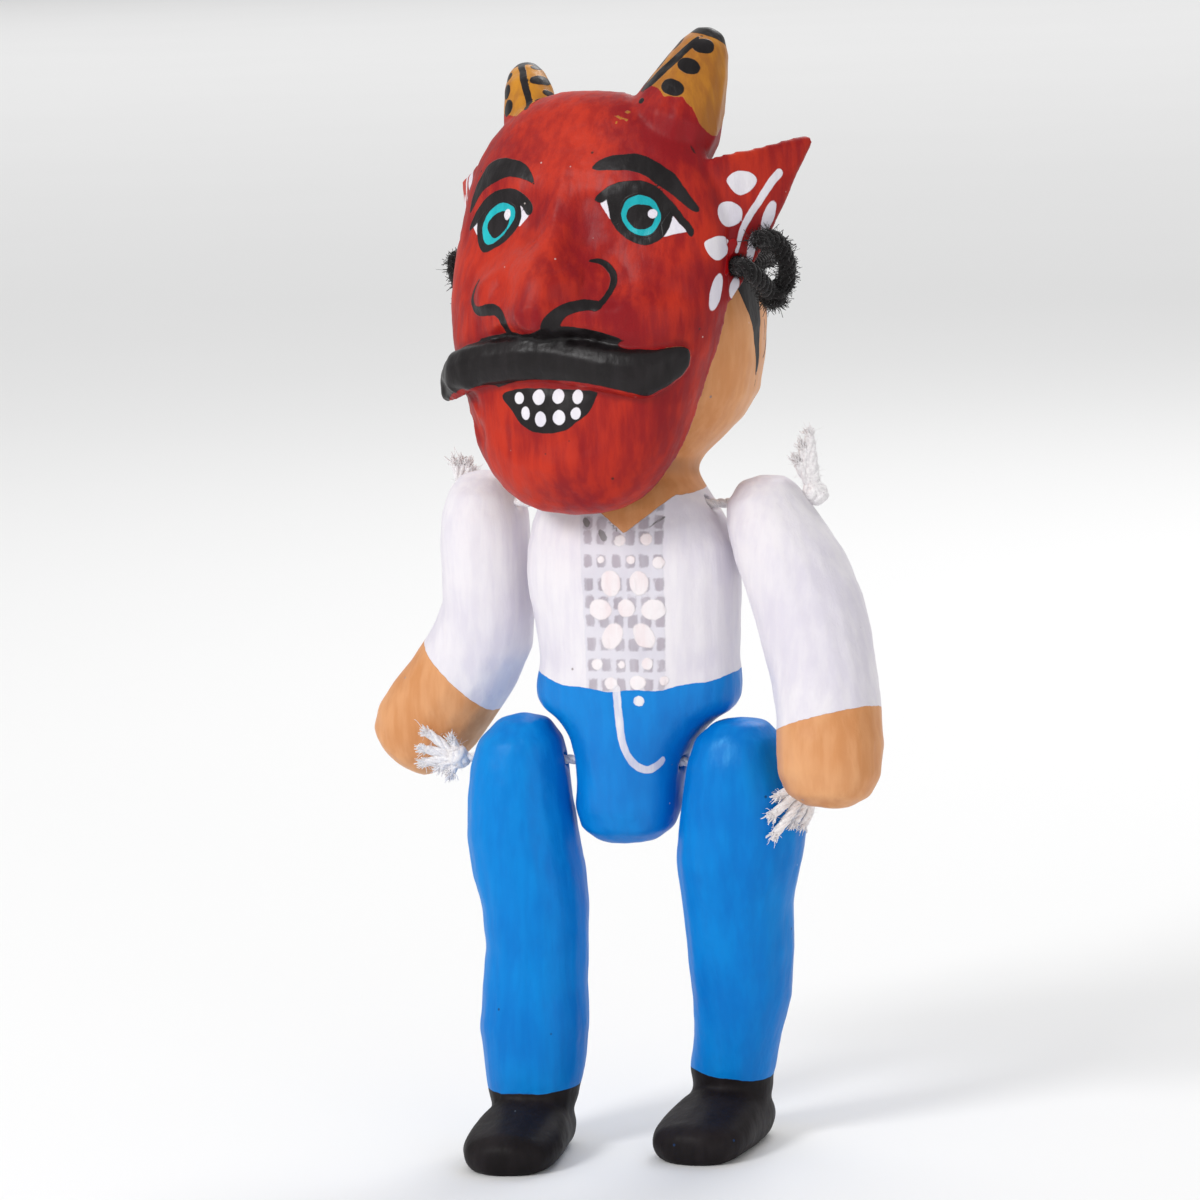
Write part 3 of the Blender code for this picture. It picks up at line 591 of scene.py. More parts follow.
class Moulding:
    """A papier-mache piece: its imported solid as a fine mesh, with lumps and painted shapes."""

    RELAX = 0.6
    SWELL = -0.613
    # How far the bend behind the painted shade and painted highlight is smoothed, and how it is scaled.
    SHADING_ROUNDS = 6
    SHADING_SCALE = 8.0

    def __init__(self, node: str, voxel: float, rounds: int, lumps: float, seed: float) -> None:
        """Make the fine mesh.

        Args:
            node: The solid's node.
            voxel: The mesh's step in millimetres.
            rounds: How many rounds of smoothing take the facets off.
            lumps: How far the hand-made lumps rise and fall, in millimetres.
            seed: Where in the noise the lumps are read.
        """
        self.node = node
        self.shift = doll_middle()
        self.piece = self._remade(voxel)
        self.edges = self._edges()
        self.smooth(rounds)
        self._lumped(lumps, seed)

    def _remade(self, voxel: float) -> bpy.types.Object:
        """Merge a copy of the solid and rebuild it in even, small faces.

        Args:
            voxel: The faces' size in millimetres.

        Returns:
            The rebuilt piece.
        """
        source = frame_nodes()[self.node].data.copy()
        shape = bmesh.new()
        shape.from_mesh(source)
        bmesh.ops.remove_doubles(shape, verts=shape.verts, dist=1e-6)
        shape.to_mesh(source)
        shape.free()
        piece = bpy.data.objects.new("painted_" + self.node, source)
        bpy.context.scene.collection.objects.link(piece)
        fine = piece.modifiers.new("Fine", "REMESH")
        fine.mode = "VOXEL"
        fine.voxel_size = voxel / METRE
        graph = bpy.context.evaluated_depsgraph_get()
        mesh = bpy.data.meshes.new_from_object(piece.evaluated_get(graph))
        piece.modifiers.clear()
        piece.data = mesh
        mesh.materials.clear()
        mesh.shade_smooth()
        return piece

    def _edges(self) -> np.ndarray:
        """Read the mesh's edges.

        Returns:
            The numbers of both end vertices, one edge a row.
        """
        ends = np.zeros(len(self.piece.data.edges) * 2, np.int32)
        self.piece.data.edges.foreach_get("vertices", ends)
        return ends.reshape(-1, 2)

    def spots(self) -> np.ndarray:
        """Read every vertex.

        Returns:
            Their places in millimetres on the doll, one a row.
        """
        flat = np.zeros(len(self.piece.data.vertices) * 3, np.float32)
        self.piece.data.vertices.foreach_get("co", flat)
        return flat.reshape(-1, 3).astype(float) * METRE - self.shift

    def move(self, spots: np.ndarray) -> None:
        """Place every vertex, no further out than the solid's own box.

        Args:
            spots: Their places in millimetres on the doll.
        """
        low, high = (np.array(corner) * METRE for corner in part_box(self.node))
        placed = np.clip(spots + self.shift, low, high) / METRE
        self.piece.data.vertices.foreach_set("co", placed.astype(np.float32).ravel())
        self.piece.data.update()

    def normals(self) -> np.ndarray:
        """Read every vertex's normal.

        Returns:
            The normals, one a row.
        """
        flat = np.zeros(len(self.piece.data.vertices) * 3, np.float32)
        self.piece.data.vertex_normals.foreach_get("vector", flat)
        return flat.reshape(-1, 3).astype(float)

    def averaged(self, rows: np.ndarray) -> np.ndarray:
        """Average what each vertex's neighbours have.

        Args:
            rows: One or more numbers for every vertex.

        Returns:
            The means, in the same form.
        """
        start, end = self.edges.T
        size = len(rows)
        count = np.bincount(self.edges.ravel(), minlength=size)
        columns = [
            (np.bincount(start, column[end], size) + np.bincount(end, column[start], size)) / count
            for column in rows.T
        ]
        return np.stack(columns, 1)

    def smooth(self, rounds: int, share: np.ndarray | float = 1.0) -> None:
        """Smooth the facets away without shrinking: each round relaxes and then swells.

        Args:
            rounds: How many rounds.
            share: How far the vertices take part, as one number or a column of them.
        """
        spots = self.spots()
        for _ in range(rounds):
            for step in (self.RELAX, self.SWELL):
                spots = spots + share * step * (self.averaged(spots) - spots)
        self.move(spots)

    def _lumped(self, lumps: float, seed: float) -> None:
        """Raise and sink the surface a little, as hands leave it.

        Args:
            lumps: How far, in millimetres.
            seed: Where in the noise the lumps are read.
        """
        spots = self.spots()
        offset = Vector((seed, 2.0 * seed, -seed))
        rise = np.array(
            [
                noise.noise(Vector(spot) * 0.085 + offset)
                + 0.45 * noise.noise(Vector(spot) * 0.23 + offset)
                + 0.16 * noise.noise(Vector(spot) * 0.6 - offset)
                for spot in spots
            ]
        )
        self.move(spots + self.normals() * (rise * lumps)[:, None])

    def keep(self, shape: str, distance: np.ndarray) -> None:
        """Keep a painted shape's distance on the mesh."""
        layer = self.piece.data.attributes.new(shape, "FLOAT", "POINT")
        layer.data.foreach_set("value", distance.astype(np.float32))

    def dress(self, finish: Acrylic, slot: str) -> None:
        """Give the piece its paint and put it in its solid's place.

        Args:
            finish: The paint.
            slot: The record's material slot; not used.
        """
        spots = self.spots()
        # The surface's bend, kept for the paint's painted shade in creases and painted highlight on
        # ridges.
        bend = ((self.averaged(spots) - spots) * self.normals()).sum(1)
        for _ in range(self.SHADING_ROUNDS):
            bend = self.averaged(bend[:, None])[:, 0]
        self.keep("painted_shading", bend * self.SHADING_SCALE)
        self.piece.data.materials.append(finish.mixed())
        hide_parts(self.node)
        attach(self.piece, "root")
        LOG.info("%s: %d faces", self.piece.name, len(self.piece.data.polygons))


def frame_nodes() -> dict[str, bpy.types.Object]:
    """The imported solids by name."""
    return {thing["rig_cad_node"]: thing for thing in bpy.data.objects if "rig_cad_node" in thing}


def doll_middle() -> np.ndarray:
    """From the doll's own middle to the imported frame, in millimetres, by the crown of its head."""
    spots = np.array([v.co for v in frame_nodes()["figure_body"].data.vertices]) * METRE
    return spots[spots[:, 2].argmax()] - np.array(CROWN)


@dataclass
class DevilMask:
    """The hollow mask with horns, ears and moustache, and all that is painted on it.

    Its sizes are in millimetres. The horns' caps start at a share of their length, and the facing
    edge is the distance that stands for a vertex facing straight out.
    """

    half_width: float = 26.0
    top: float = 36.0
    chin: float = 36.5
    depth: float = 16.0
    wall: float = 2.5
    squareness: float = 2.5
    chin_rim: float = 7.0
    top_rim: float = 2.0
    ear_foot: float = 22.4
    ear_rounds: int = 60
    left_horn_radius: float = 9.6
    right_horn_radius: float = 7.4
    horn_foot: float = 28.0
    horn_cap: float = 0.915
    facing_edge: float = 6.0
    left_horn: Points = field(default_factory=lambda: [(12.8, 22.2, -1.6), (17.4, 46.0, -11.9)])
    right_horn: Points = field(default_factory=lambda: [(-12.2, 22.2, -1.6), (-18.8, 39.8, -11.0)])

    def build(self) -> None:
        """Make the mask, paint it and put it in place."""
        self.mould = Moulding("mask", voxel=0.42, rounds=30, lumps=0.26, seed=3.1)
        self._chart()
        ears = np.clip((np.abs(self.across) - 24.0) / 3.0, 0.0, 1.0)
        self.mould.smooth(self.ear_rounds, share=ears[:, None])
        self._carve()
        self._chart()
        # Painted light and shade on the mask: orange where light falls, crimson where shade falls.
        self.mould.keep("painted_light_and_shade", self._painted_light_and_shade())
        for shape, distance in (
            ("raw", self._inside()),
            ("gold", self._gold()),
            ("white_under", self._eye_whites()),
            ("teal", self._irises()),
            ("black", self._black()),
            ("white_over", self._white_marks()),
            ("blot", self._blot()),
        ):
            self.mould.keep(shape, distance)
        self.mould.dress(MASK_PAINT, "mask_paint")

    def _chart(self) -> None:
        """Read every vertex in the mask's own frame, and the maps that its shapes are drawn on."""
        own = (self.mould.spots() - np.array(MASK_CENTRE)) @ np.array(MASK_TURN)
        facing = self.mould.normals() @ np.array(MASK_TURN)
        self.across, self.up, self.out = own[:, 0], own[:, 2], -own[:, 1]
        self.facing_out = -facing[:, 1]
        away = own - np.array([0.0, -2.0, 0.0])
        self.facing_away = (facing * away).sum(1) / np.linalg.norm(away, axis=1)
        self.face = Ink(self.across, self.up)
        tall = np.where(self.up > 0, self.top, self.chin)
        square = self.squareness
        share = np.abs(self.across / self.half_width) ** square + np.abs(self.up / tall) ** square
        self.share = np.minimum(share ** (1.0 / square), 1.0)
        rim = self.chin_rim * np.clip(-self.up / self.chin, 0, 1)
        rim = rim - self.top_rim * np.clip(self.up / self.top, 0, 1)
        depth = self.depth * (1.0 - 0.009 * self.up) - rim
        full = 2.0 + np.clip((12.0 - self.up) / 20.0, 0, 1)
        dome = rim + depth * (1.0 - self.share**full) ** (1.0 / full)
        self.under_dome = dome - self.wall * 0.55 * np.sqrt(1.0 - self.share**2) - self.out
        reach = np.abs(self.across)
        self.raised = -self.under_dome - np.interp(
            reach, (5, 9, 14, 15, 20, 25), (-4, 1.0, 2.3, 2.3, 1.7, 0.4)
        )

    def _horn_chart(self, horn: Points) -> tuple[np.ndarray, np.ndarray, np.ndarray]:
        """Read every vertex by a horn's own line.

        Args:
            horn: Its foot and its tip.

        Returns:
            How far along the line, how far round it and how far from it each vertex is.
        """
        own = np.stack([self.across, self.up, self.out], 1)
        start, end = (np.array(point) for point in horn)
        along = (end - start) / np.linalg.norm(end - start)
        side = np.array([1.0, 0.0, 0.0]) - along * along[0]
        side /= np.linalg.norm(side)
        deep = np.cross(along, side)
        away = own - start
        far = np.hypot(away @ side, away @ deep)
        round_it = np.arctan2(away @ side, -(away @ deep))
        return away @ along, round_it, far

    def _carve(self) -> None:
        """Deepen the creases and raise the small forms that the solid leaves plain."""
        ink = self.face
        front = np.clip(self.facing_out * 2.0, 0.0, 1.0) * (self.facing_away > 0)
        jaw = [
            ink.stroke([(-23.0, -15.0, 0.5), (-19.0, -18.0, 1.0), (-16.5, -21.0, 0.4)]),
            ink.dots([
                (-17.2, -16.2, 0.9, 0.5, -30), (-19.4, -21.5, 0.6, 1.0, 20), (-15.4, -22.4, 0.5, 0.8),
            ]),
        ]
        folds = [
            ink.stroke([(9.5, 8.5, 0.8), (12.6, 5.4, 1.0), (12.0, 2.0, 0.8)]),
            ink.stroke([(-10.0, 8.5, 0.8), (-15.0, 5.0, 1.0), (-16.0, 1.0, 0.8)]),
        ]
        lip = [ink.stroke([(-8.0, -23.2, 0.8), (0.0, -24.2, 1.0), (8.0, -22.6, 0.8)])]
        sockets = [ink.stroke([(side * 5.4, 17.0, 1.0), (side * 4.6, 12.0, 1.0)]) for side in (1, -1)]
        cheek = ink.dot(17.0, -1.5, 6.0, 4.0, -20.0)
        sink = np.zeros(len(self.up))
        creases = ((jaw, 0.85, 1.3), (folds, 0.42, 1.8), (lip, 0.3, 2.4), (sockets, 0.35, 2.6))
        for shapes, deep, spread in creases:
            gap = np.clip(-np.max(shapes, axis=0), 0.0, None)
            sink += deep * np.exp(-(gap**2) / spread)
        rise = 0.5 * np.clip(cheek / 3.0 + 0.5, 0.0, 1.0)
        for across, up, wide, tall, out in (
            (-5.4, 5.6, 6.4, 4.6, 2.4),
            (4.2, 4.2, 4.2, 3.2, 1.6),
            (-12.6, 2.6, 3.4, 3.2, 1.4),
        ):
            rise += out * np.exp(-((self.across - across) / wide) ** 2 - ((self.up - up) / tall) ** 2)
        move = self.mould.normals() * ((rise - sink) * front)[:, None]
        along, around, far = self._horn_chart(self.left_horn)
        flare = 2.3 * np.exp(-(((along - 7.0) / 6.5) ** 2)) * np.clip(-np.sin(around), 0.0, 1.0)
        for inside in ((10.5 - far) / 3.5, (self.across - 2.0) / 5.0, (along + 4.0) / 5.0):
            flare *= np.clip(inside, 0.0, 1.0)
        self.mould.move(self.mould.spots() + move - flare[:, None] * [1.0, 0.0, -0.1])

    def _painted_light_and_shade(self) -> np.ndarray:
        """Painted light and shade on the red: orange where light falls on the face and crimson where shade
        falls.

        Returns:
            Above nought for painted light (orange) and below it for painted shade (crimson).
        """
        total = np.zeros(len(self.up))
        for across, up, wide, tall, share in (
            (-4.0, 28.0, 11.0, 7.0, 0.34), (-6.0, 6.0, 4.5, 4.0, 0.3), (-18.0, 5.0, 5.0, 8.0, 0.22),
            (-4.0, -27.0, 10.0, 6.0, 0.22), (-15.0, -20.0, 5.0, 4.0, 0.16), (14.0, 9.0, 5.0, 2.5, 0.2),
            (0.0, 20.0, 3.5, 5.0, 0.12), (14.0, -1.0, 7.0, 6.0, -0.36), (17.0, -21.0, 8.0, 11.0, -0.34),
            (18.0, 29.0, 7.0, 6.0, -0.34), (30.0, 12.0, 9.0, 12.0, -0.12), (-3.0, -1.0, 7.0, 2.0, -0.3),
            (5.0, 12.0, 3.4, 5.0, -0.42), (-23.0, -15.5, 3.0, 4.0, -0.3), (8.4, 4.0, 2.6, 2.6, -0.24),
        ):
            away = ((self.across - across) / wide) ** 2 + ((self.up - up) / tall) ** 2
            total += share * np.exp(-away)
        return total

    def _front(self, distance: np.ndarray) -> np.ndarray:
        """Keep a shape to the outside of the face."""
        return np.minimum(distance, self.facing_away * self.facing_edge + 1.5)

    def _inside(self) -> np.ndarray:
        """The bare paper inside the face, with the red lapping over its edge.

        Returns:
            Distance inside it, in millimetres.
        """
        lapped = (0.94 - self.share) * 26.0
        back = np.minimum(self.under_dome * 2.0 + 3.0, lapped)
        return np.minimum(back, (-0.1 - self.facing_away) * self.facing_edge)

    def _gold(self) -> np.ndarray:
        """Both horns, with the red running up their feet.

        Returns:
            Distance inside the gold, in millimetres.
        """
        _, _, far = self._horn_chart(self.left_horn)
        foot = np.interp(
            self.across,
            (10.0, 13.0, 15.0, 18.0, 19.5, 20.8, 21.8),
            (37.2, 36.6, 35.2, 35.0, 33.2, 30.6, 28.2),
        )
        foot = np.where(self.out < -8.5, 27.6, foot)
        left = np.minimum(np.minimum(self.up - foot, self.left_horn_radius - far), self.across - 6.0)
        along, _, far = self._horn_chart(self.right_horn)
        right = np.minimum(np.minimum(self.up - 31.5, self.right_horn_radius - far), -self.across - 6.0)
        right = np.minimum(right, along - 7.0)
        bare = self.face.stroke([(6.4, 32.0, 0.12), (8.9, 31.2, 0.2)])
        bare = np.maximum(bare, self.face.dots([(8.6, 32.5, 0.3, 0.14, -10), (7.2, 30.8, 0.2, 0.2)]))
        return np.max([left, right, self._front(bare)], axis=0)

    def _horn_marks(self, horn: Points, radii: Points, stripe: Points, marks: Points) -> np.ndarray:
        """Black stripe, cap and leaf dots of one horn.

        Args:
            horn: Its foot and its tip.
            radii: How far along it and how thick it is there, in rows.
            stripe: The stripe's place along it, degrees round it and half width.
            marks: Each dot's place along it, degrees round it, half width, half length and lean.

        Returns:
            Distance inside the marks.
        """
        along, around, far = self._horn_chart(horn)
        length = math.dist(*horn)
        map_of_horn = Ink(around * far, along)
        places, thick = zip(*radii)

        def spot(place: float, degrees: float) -> tuple[float, float]:
            """A place on the horn laid out flat."""
            return math.radians(degrees) * float(np.interp(place, places, thick)), place

        shapes = [
            map_of_horn.stroke([(*spot(place, degrees), half) for place, degrees, half in stripe]),
            along - length * self.horn_cap,
        ]
        for place, degrees, wide, tall, lean in marks:
            shapes.append(map_of_horn.dot(*spot(place, degrees), wide, tall, lean))
        return np.minimum(np.max(shapes, axis=0), 11.0 - far)

    def _eye_whites(self) -> np.ndarray:
        """The corners of the eyes.

        Returns:
            Distance inside them, in millimetres.
        """
        shapes = [
            self.face.patch([(7.2, 17.6), (8.6, 18.8), (9.6, 17.0), (10.8, 13.6), (9.0, 15.0)], False),
            self.face.patch([
                (18.7, 15.9), (21.6, 12.6), (20.1, 12.3), (18.2, 11.8), (17.6, 14.0),
            ], False),
            self.face.patch([(-8.4, 17.0), (-6.4, 15.3), (-8.2, 13.2), (-9.4, 15.0)], False),
            self.face.patch([(-16.6, 15.6), (-19.4, 12.8), (-17.9, 11.3), (-16.4, 13.0)], False),
        ]
        return self._front(np.max(shapes, axis=0))

    def _irises(self) -> np.ndarray:
        """The turquoise rings.

        Returns:
            Distance inside them, in millimetres.
        """
        shapes = [
            self.face.patch([
                (14.1, 19.2), (16.3, 18.3), (17.7, 15.6), (17.3, 13.2), (16.0, 11.9), (14.0, 11.8),
                (11.9, 13.1), (10.7, 15.4), (11.2, 17.7), (12.4, 18.8),
            ]),
            self.face.patch([
                (-11.3, 17.5), (-9.4, 16.7), (-9.2, 14.9), (-10.3, 12.9), (-12.3, 10.8), (-14.6, 9.7),
                (-16.5, 10.7), (-17.1, 13.2), (-15.8, 15.7), (-13.4, 17.2),
            ]),
        ]
        return self._front(np.max(shapes, axis=0))

    def _black(self) -> np.ndarray:
        """Brows, lids, pupils, nostrils, moustache, mouth and the marks on the horns.

        Returns:
            Distance inside them, in millimetres.
        """
        ink = self.face
        brows = [
            ink.patch([
                (4.9, 23.4), (6.0, 24.6), (8.1, 25.4), (11.6, 25.7), (13.8, 25.3), (16.4, 24.0),
                (18.8, 22.2), (20.6, 19.6), (22.6, 16.4), (22.1, 15.8), (20.4, 17.3), (18.6, 19.1),
                (16.4, 20.7), (14.3, 22.2), (11.9, 22.9), (8.7, 23.0), (6.1, 23.0),
            ]),
            ink.patch([
                (-20.9, 14.8), (-20.3, 18.1), (-18.9, 20.8), (-17.0, 23.4), (-14.4, 24.6),
                (-11.4, 24.6), (-8.5, 23.9), (-6.6, 22.3), (-5.7, 20.5), (-7.9, 21.3), (-11.4, 21.6),
                (-15.0, 20.2), (-17.7, 18.6),
            ]),
        ]
        lids = [
            ink.patch([
                (6.1, 18.0), (7.3, 19.4), (9.8, 20.9), (12.6, 21.3), (14.7, 21.2), (16.8, 20.0),
                (18.6, 18.1), (20.5, 15.5), (22.3, 12.9), (22.1, 11.7), (20.9, 13.3), (19.6, 14.9),
                (18.4, 16.8), (16.6, 18.9), (14.1, 19.5), (11.6, 18.9), (9.0, 18.6), (7.6, 17.6),
            ]),
            ink.patch([
                (-20.5, 12.0), (-18.9, 15.4), (-15.9, 18.1), (-12.9, 19.4), (-10.1, 19.7),
                (-7.8, 18.9), (-6.0, 17.1), (-5.8, 15.8), (-6.9, 15.3), (-8.3, 16.9), (-10.4, 17.5),
                (-13.4, 17.3), (-16.2, 15.8), (-18.2, 13.6),
            ]),
        ]
        rings = []
        for outer, inner in (
            (
                [
                    (9.0, 18.9), (8.9, 16.4), (9.5, 14.2), (11.2, 12.3), (13.5, 10.9), (15.9, 10.5),
                    (17.9, 11.5), (18.9, 13.3), (19.1, 15.4), (18.0, 18.4), (14.0, 20.4),
                ],
                [
                    (14.1, 18.9), (16.1, 18.1), (17.4, 15.6), (17.0, 13.4), (15.9, 12.2), (14.0, 12.2),
                    (12.1, 13.3), (11.0, 15.4), (11.5, 17.5), (12.6, 18.5),
                ],
            ),
            (
                [
                    (-17.3, 15.4), (-18.3, 13.2), (-17.5, 10.5), (-15.5, 8.7), (-12.6, 9.7),
                    (-10.3, 11.2), (-8.4, 13.4), (-8.1, 15.8), (-9.5, 18.2), (-14.0, 18.2),
                ],
                [
                    (-11.4, 17.2), (-9.7, 16.4), (-9.5, 14.9), (-10.6, 13.1), (-12.4, 11.1),
                    (-14.6, 10.0), (-16.2, 10.9), (-16.8, 13.2), (-15.5, 15.4), (-13.3, 16.9),
                ],
            ),
        ):
            rings.append(np.minimum(ink.patch(outer), -ink.patch(inner)))
        pupils = [
            ink.patch([
                (14.1, 17.3), (15.8, 17.0), (16.6, 15.6), (16.2, 13.9), (14.9, 13.1), (13.2, 13.4),
                (11.8, 15.2), (12.5, 16.9),
            ]),
            ink.patch([
                (-12.7, 15.7), (-10.8, 15.4), (-10.9, 13.5), (-12.5, 11.6), (-14.1, 11.2),
                (-15.7, 12.8), (-15.0, 14.4),
            ]),
        ]
        nostrils = [
            ink.stroke([
                (6.9, 8.0, 0.2), (8.2, 7.9, 0.4), (9.9, 6.9, 0.5), (11.2, 5.2, 0.55),
                (11.2, 3.2, 0.55), (10.5, 1.2, 0.55), (9.9, 0.5, 0.7),
            ]),
            ink.stroke([
                (10.1, 0.7, 0.75), (7.6, 0.8, 0.95), (5.4, 0.2, 1.05), (3.9, -1.4, 1.15),
                (3.0, -3.2, 1.2), (2.2, -5.0, 1.2),
            ]),
            ink.stroke([
                (-14.7, 4.2, 0.15), (-15.7, 2.4, 0.35), (-15.9, 0.9, 0.45), (-14.9, -0.4, 0.6),
                (-13.4, -0.9, 0.85), (-11.0, -0.5, 1.0), (-8.8, -0.5, 1.0), (-7.2, -1.8, 0.9),
                (-6.8, -4.2, 0.8),
            ]),
        ]
        moustache = ink.patch(
            [
                (-26.5, -11.0), (-23.0, -9.0), (-19.4, -7.4), (-16.3, -6.4), (-11.3, -5.1),
                (-6.0, -4.1), (-3.3, -4.3), (0.0, -3.7), (2.4, -2.8), (5.9, -2.7), (10.6, -3.7),
                (14.4, -5.1), (17.4, -6.4), (20.2, -6.3), (24.6, -6.0), (24.8, -8.6), (23.4, -11.5),
                (21.2, -13.7), (19.0, -14.9), (16.8, -14.1), (14.4, -13.5), (9.2, -12.5), (3.5, -12.1),
                (-4.5, -12.4), (-9.6, -13.8), (-14.2, -15.9), (-16.5, -17.6), (-21.0, -19.0),
                (-26.5, -19.5),
            ]
        )
        moustache = np.minimum(moustache, self.raised * 1.5)
        mouth = ink.patch([
            (-9.1, -15.3), (-6.6, -14.1), (-2.3, -13.7), (3.5, -13.7), (9.0, -13.9), (9.2, -15.0),
            (7.8, -17.6), (5.5, -19.4), (3.6, -20.7), (0.4, -21.3), (-2.7, -21.1), (-5.2, -19.8),
            (-6.9, -17.8),
        ])
        crack = ink.stroke([(19.4, 27.4, 0.0), (20.0, 26.2, 0.1), (20.7, 25.3, 0.0)])
        shapes = [*brows, *lids, *rings, *pupils, *nostrils, moustache, mouth, crack]
        face = self._front(np.max(shapes, axis=0))
        left = self._horn_marks(
            self.left_horn,
            [(0.0, 5.4), (6.1, 8.6), (12.9, 7.8), (19.9, 5.5), (24.9, 3.0)],
            [
                (23.4, 7, 0.2), (22.3, 4, 0.5), (20.4, -4, 0.78), (18.2, -11, 0.85), (16.2, -20, 0.92),
                (14.0, -29, 1.1), (12.7, -37, 1.15), (12.1, -47, 0.7),
            ],
            [
                (21.9, 27, 1.95, 1.5, -8), (17.4, 16, 2.15, 1.45, -12), (12.8, 6, 2.3, 1.45, -12),
                (21.6, -40, 0.8, 1.6, -12), (18.0, -48, 1.0, 2.0, -12), (14.4, -58, 1.15, 1.8, -12),
                (20.5, -75, 0.8, 1.5, 0), (16.6, -84, 0.9, 1.6, 0), (9.4, -30, 0.7, 0.6, 0),
                (20.6, 165, 1.3, 1.3, 0), (15.0, 150, 1.4, 1.4, 0), (16.0, -150, 1.4, 1.6, 0),
            ],
        )
        right = self._horn_marks(
            self.right_horn,
            [(0.0, 5.0), (6.0, 6.2), (12.0, 5.6), (18.0, 4.0), (20.5, 2.6)],
            [(19.4, 6, 0.6), (17.2, 14, 0.6), (13.9, 18, 0.65), (11.2, 22, 0.6), (8.0, 24, 0.6)],
            [
                (15.2, 56, 2.2, 1.2, 15), (18.6, 52, 1.1, 0.8, 10), (12.4, 66, 1.6, 0.8, 0),
                (10.2, 52, 1.8, 0.8, 0), (17.4, -30, 1.1, 0.95, 0), (14.2, -28, 1.1, 1.5, 0),
                (10.6, -22, 1.3, 1.6, 0), (15.0, -72, 1.0, 1.3, 0), (11.0, -66, 1.1, 1.4, 0),
                (16.0, 140, 1.2, 1.2, 0), (11.5, -150, 1.2, 1.4, 0),
            ],
        )
        horns = np.where(self.across > 0, left, right)
        on_horn = np.minimum(horns, np.where(self.across > 0, self.across - 5.0, -self.across - 5.0))
        on_horn = np.minimum(on_horn, np.minimum(self.up - self.horn_foot, -self._inside() * 2.0 - 0.5))
        return np.maximum(face, on_horn)

    def _sweep(self) -> np.ndarray:
        """How far back along its ear each vertex lies, from the side of the face."""
        return (np.abs(self.across) - 22.6) * 0.58 - (self.out + 0.6) * 0.81

    def _white_marks(self) -> np.ndarray:
        """Glints, teeth, and the leaf sprays on the ears.

        Returns:
            Distance inside them, in millimetres.
        """
        ink = self.face
        teeth = ink.dots(
            [
                (-5.5, -15.5, 0.95, 1.05, 10), (-1.6, -15.2, 1.2, 1.3, 0), (2.2, -14.9, 1.15, 1.25, 0),
                (5.9, -14.9, 1.0, 1.25, -5), (-4.1, -18.0, 0.9, 1.15, 10), (-1.1, -18.9, 1.1, 1.3, 0),
                (2.5, -18.5, 1.2, 1.3, 0), (5.6, -17.7, 0.9, 1.1, -15),
            ]
        )
        glints = ink.dots([(16.2, 15.7, 0.75, 0.8, 0), (-11.2, 15.2, 0.7, 0.95, -20)])
        face = self._front(np.maximum(teeth, glints))
        ear = Ink(self._sweep(), self.up)
        spray = np.max(
            [
                ear.patch([
                    (2.2, 20.9), (4.0, 22.2), (6.4, 22.0), (7.9, 20.6), (6.6, 18.9), (4.6, 18.1),
                    (3.0, 19.2),
                ]),
                ear.patch([
                    (-0.2, 15.4), (0.8, 16.9), (3.0, 17.1), (4.8, 15.8), (4.6, 13.8), (2.7, 12.9),
                    (0.7, 13.4),
                ]),
                ear.patch([
                    (-3.9, 10.4), (-2.4, 11.3), (0.2, 11.5), (2.3, 10.4), (1.0, 8.4), (-1.2, 7.5),
                    (-2.9, 8.3),
                ]),
                ear.dot(-2.1, 2.2, 1.35, 3.3, -22.0),
                ear.dot(3.4, 2.4, 1.0, 1.9, -12.0),
                ear.dot(10.0, 14.2, 1.15, 3.0, -22.0),
                ear.dot(6.6, 9.0, 0.85, 2.6, -10.0),
                ear.stroke([
                    (12.2, 21.6, 0.75), (10.4, 19.9, 0.75), (8.4, 17.3, 0.7), (6.3, 14.6, 0.65),
                    (4.7, 11.8, 0.55), (3.7, 8.6, 0.35),
                ]),
            ],
            axis=0,
        )
        spray = np.minimum(spray, self.facing_out * self.facing_edge + 1.5)
        spray = np.minimum(spray, np.abs(self.across) - self.ear_foot)
        return np.maximum(face, spray)

    def _blot(self) -> np.ndarray:
        """A thick run of red at the foot of the left ear's spray.

        Returns:
            Distance inside it, in millimetres.
        """
        ear = Ink(self._sweep(), self.up)
        run = ear.stroke([(3.0, 10.0, 0.9), (1.9, 8.0, 0.9), (1.2, 6.4, 0.7), (0.7, 5.2, 0.5)])
        return np.minimum(run, self.across - self.ear_foot)


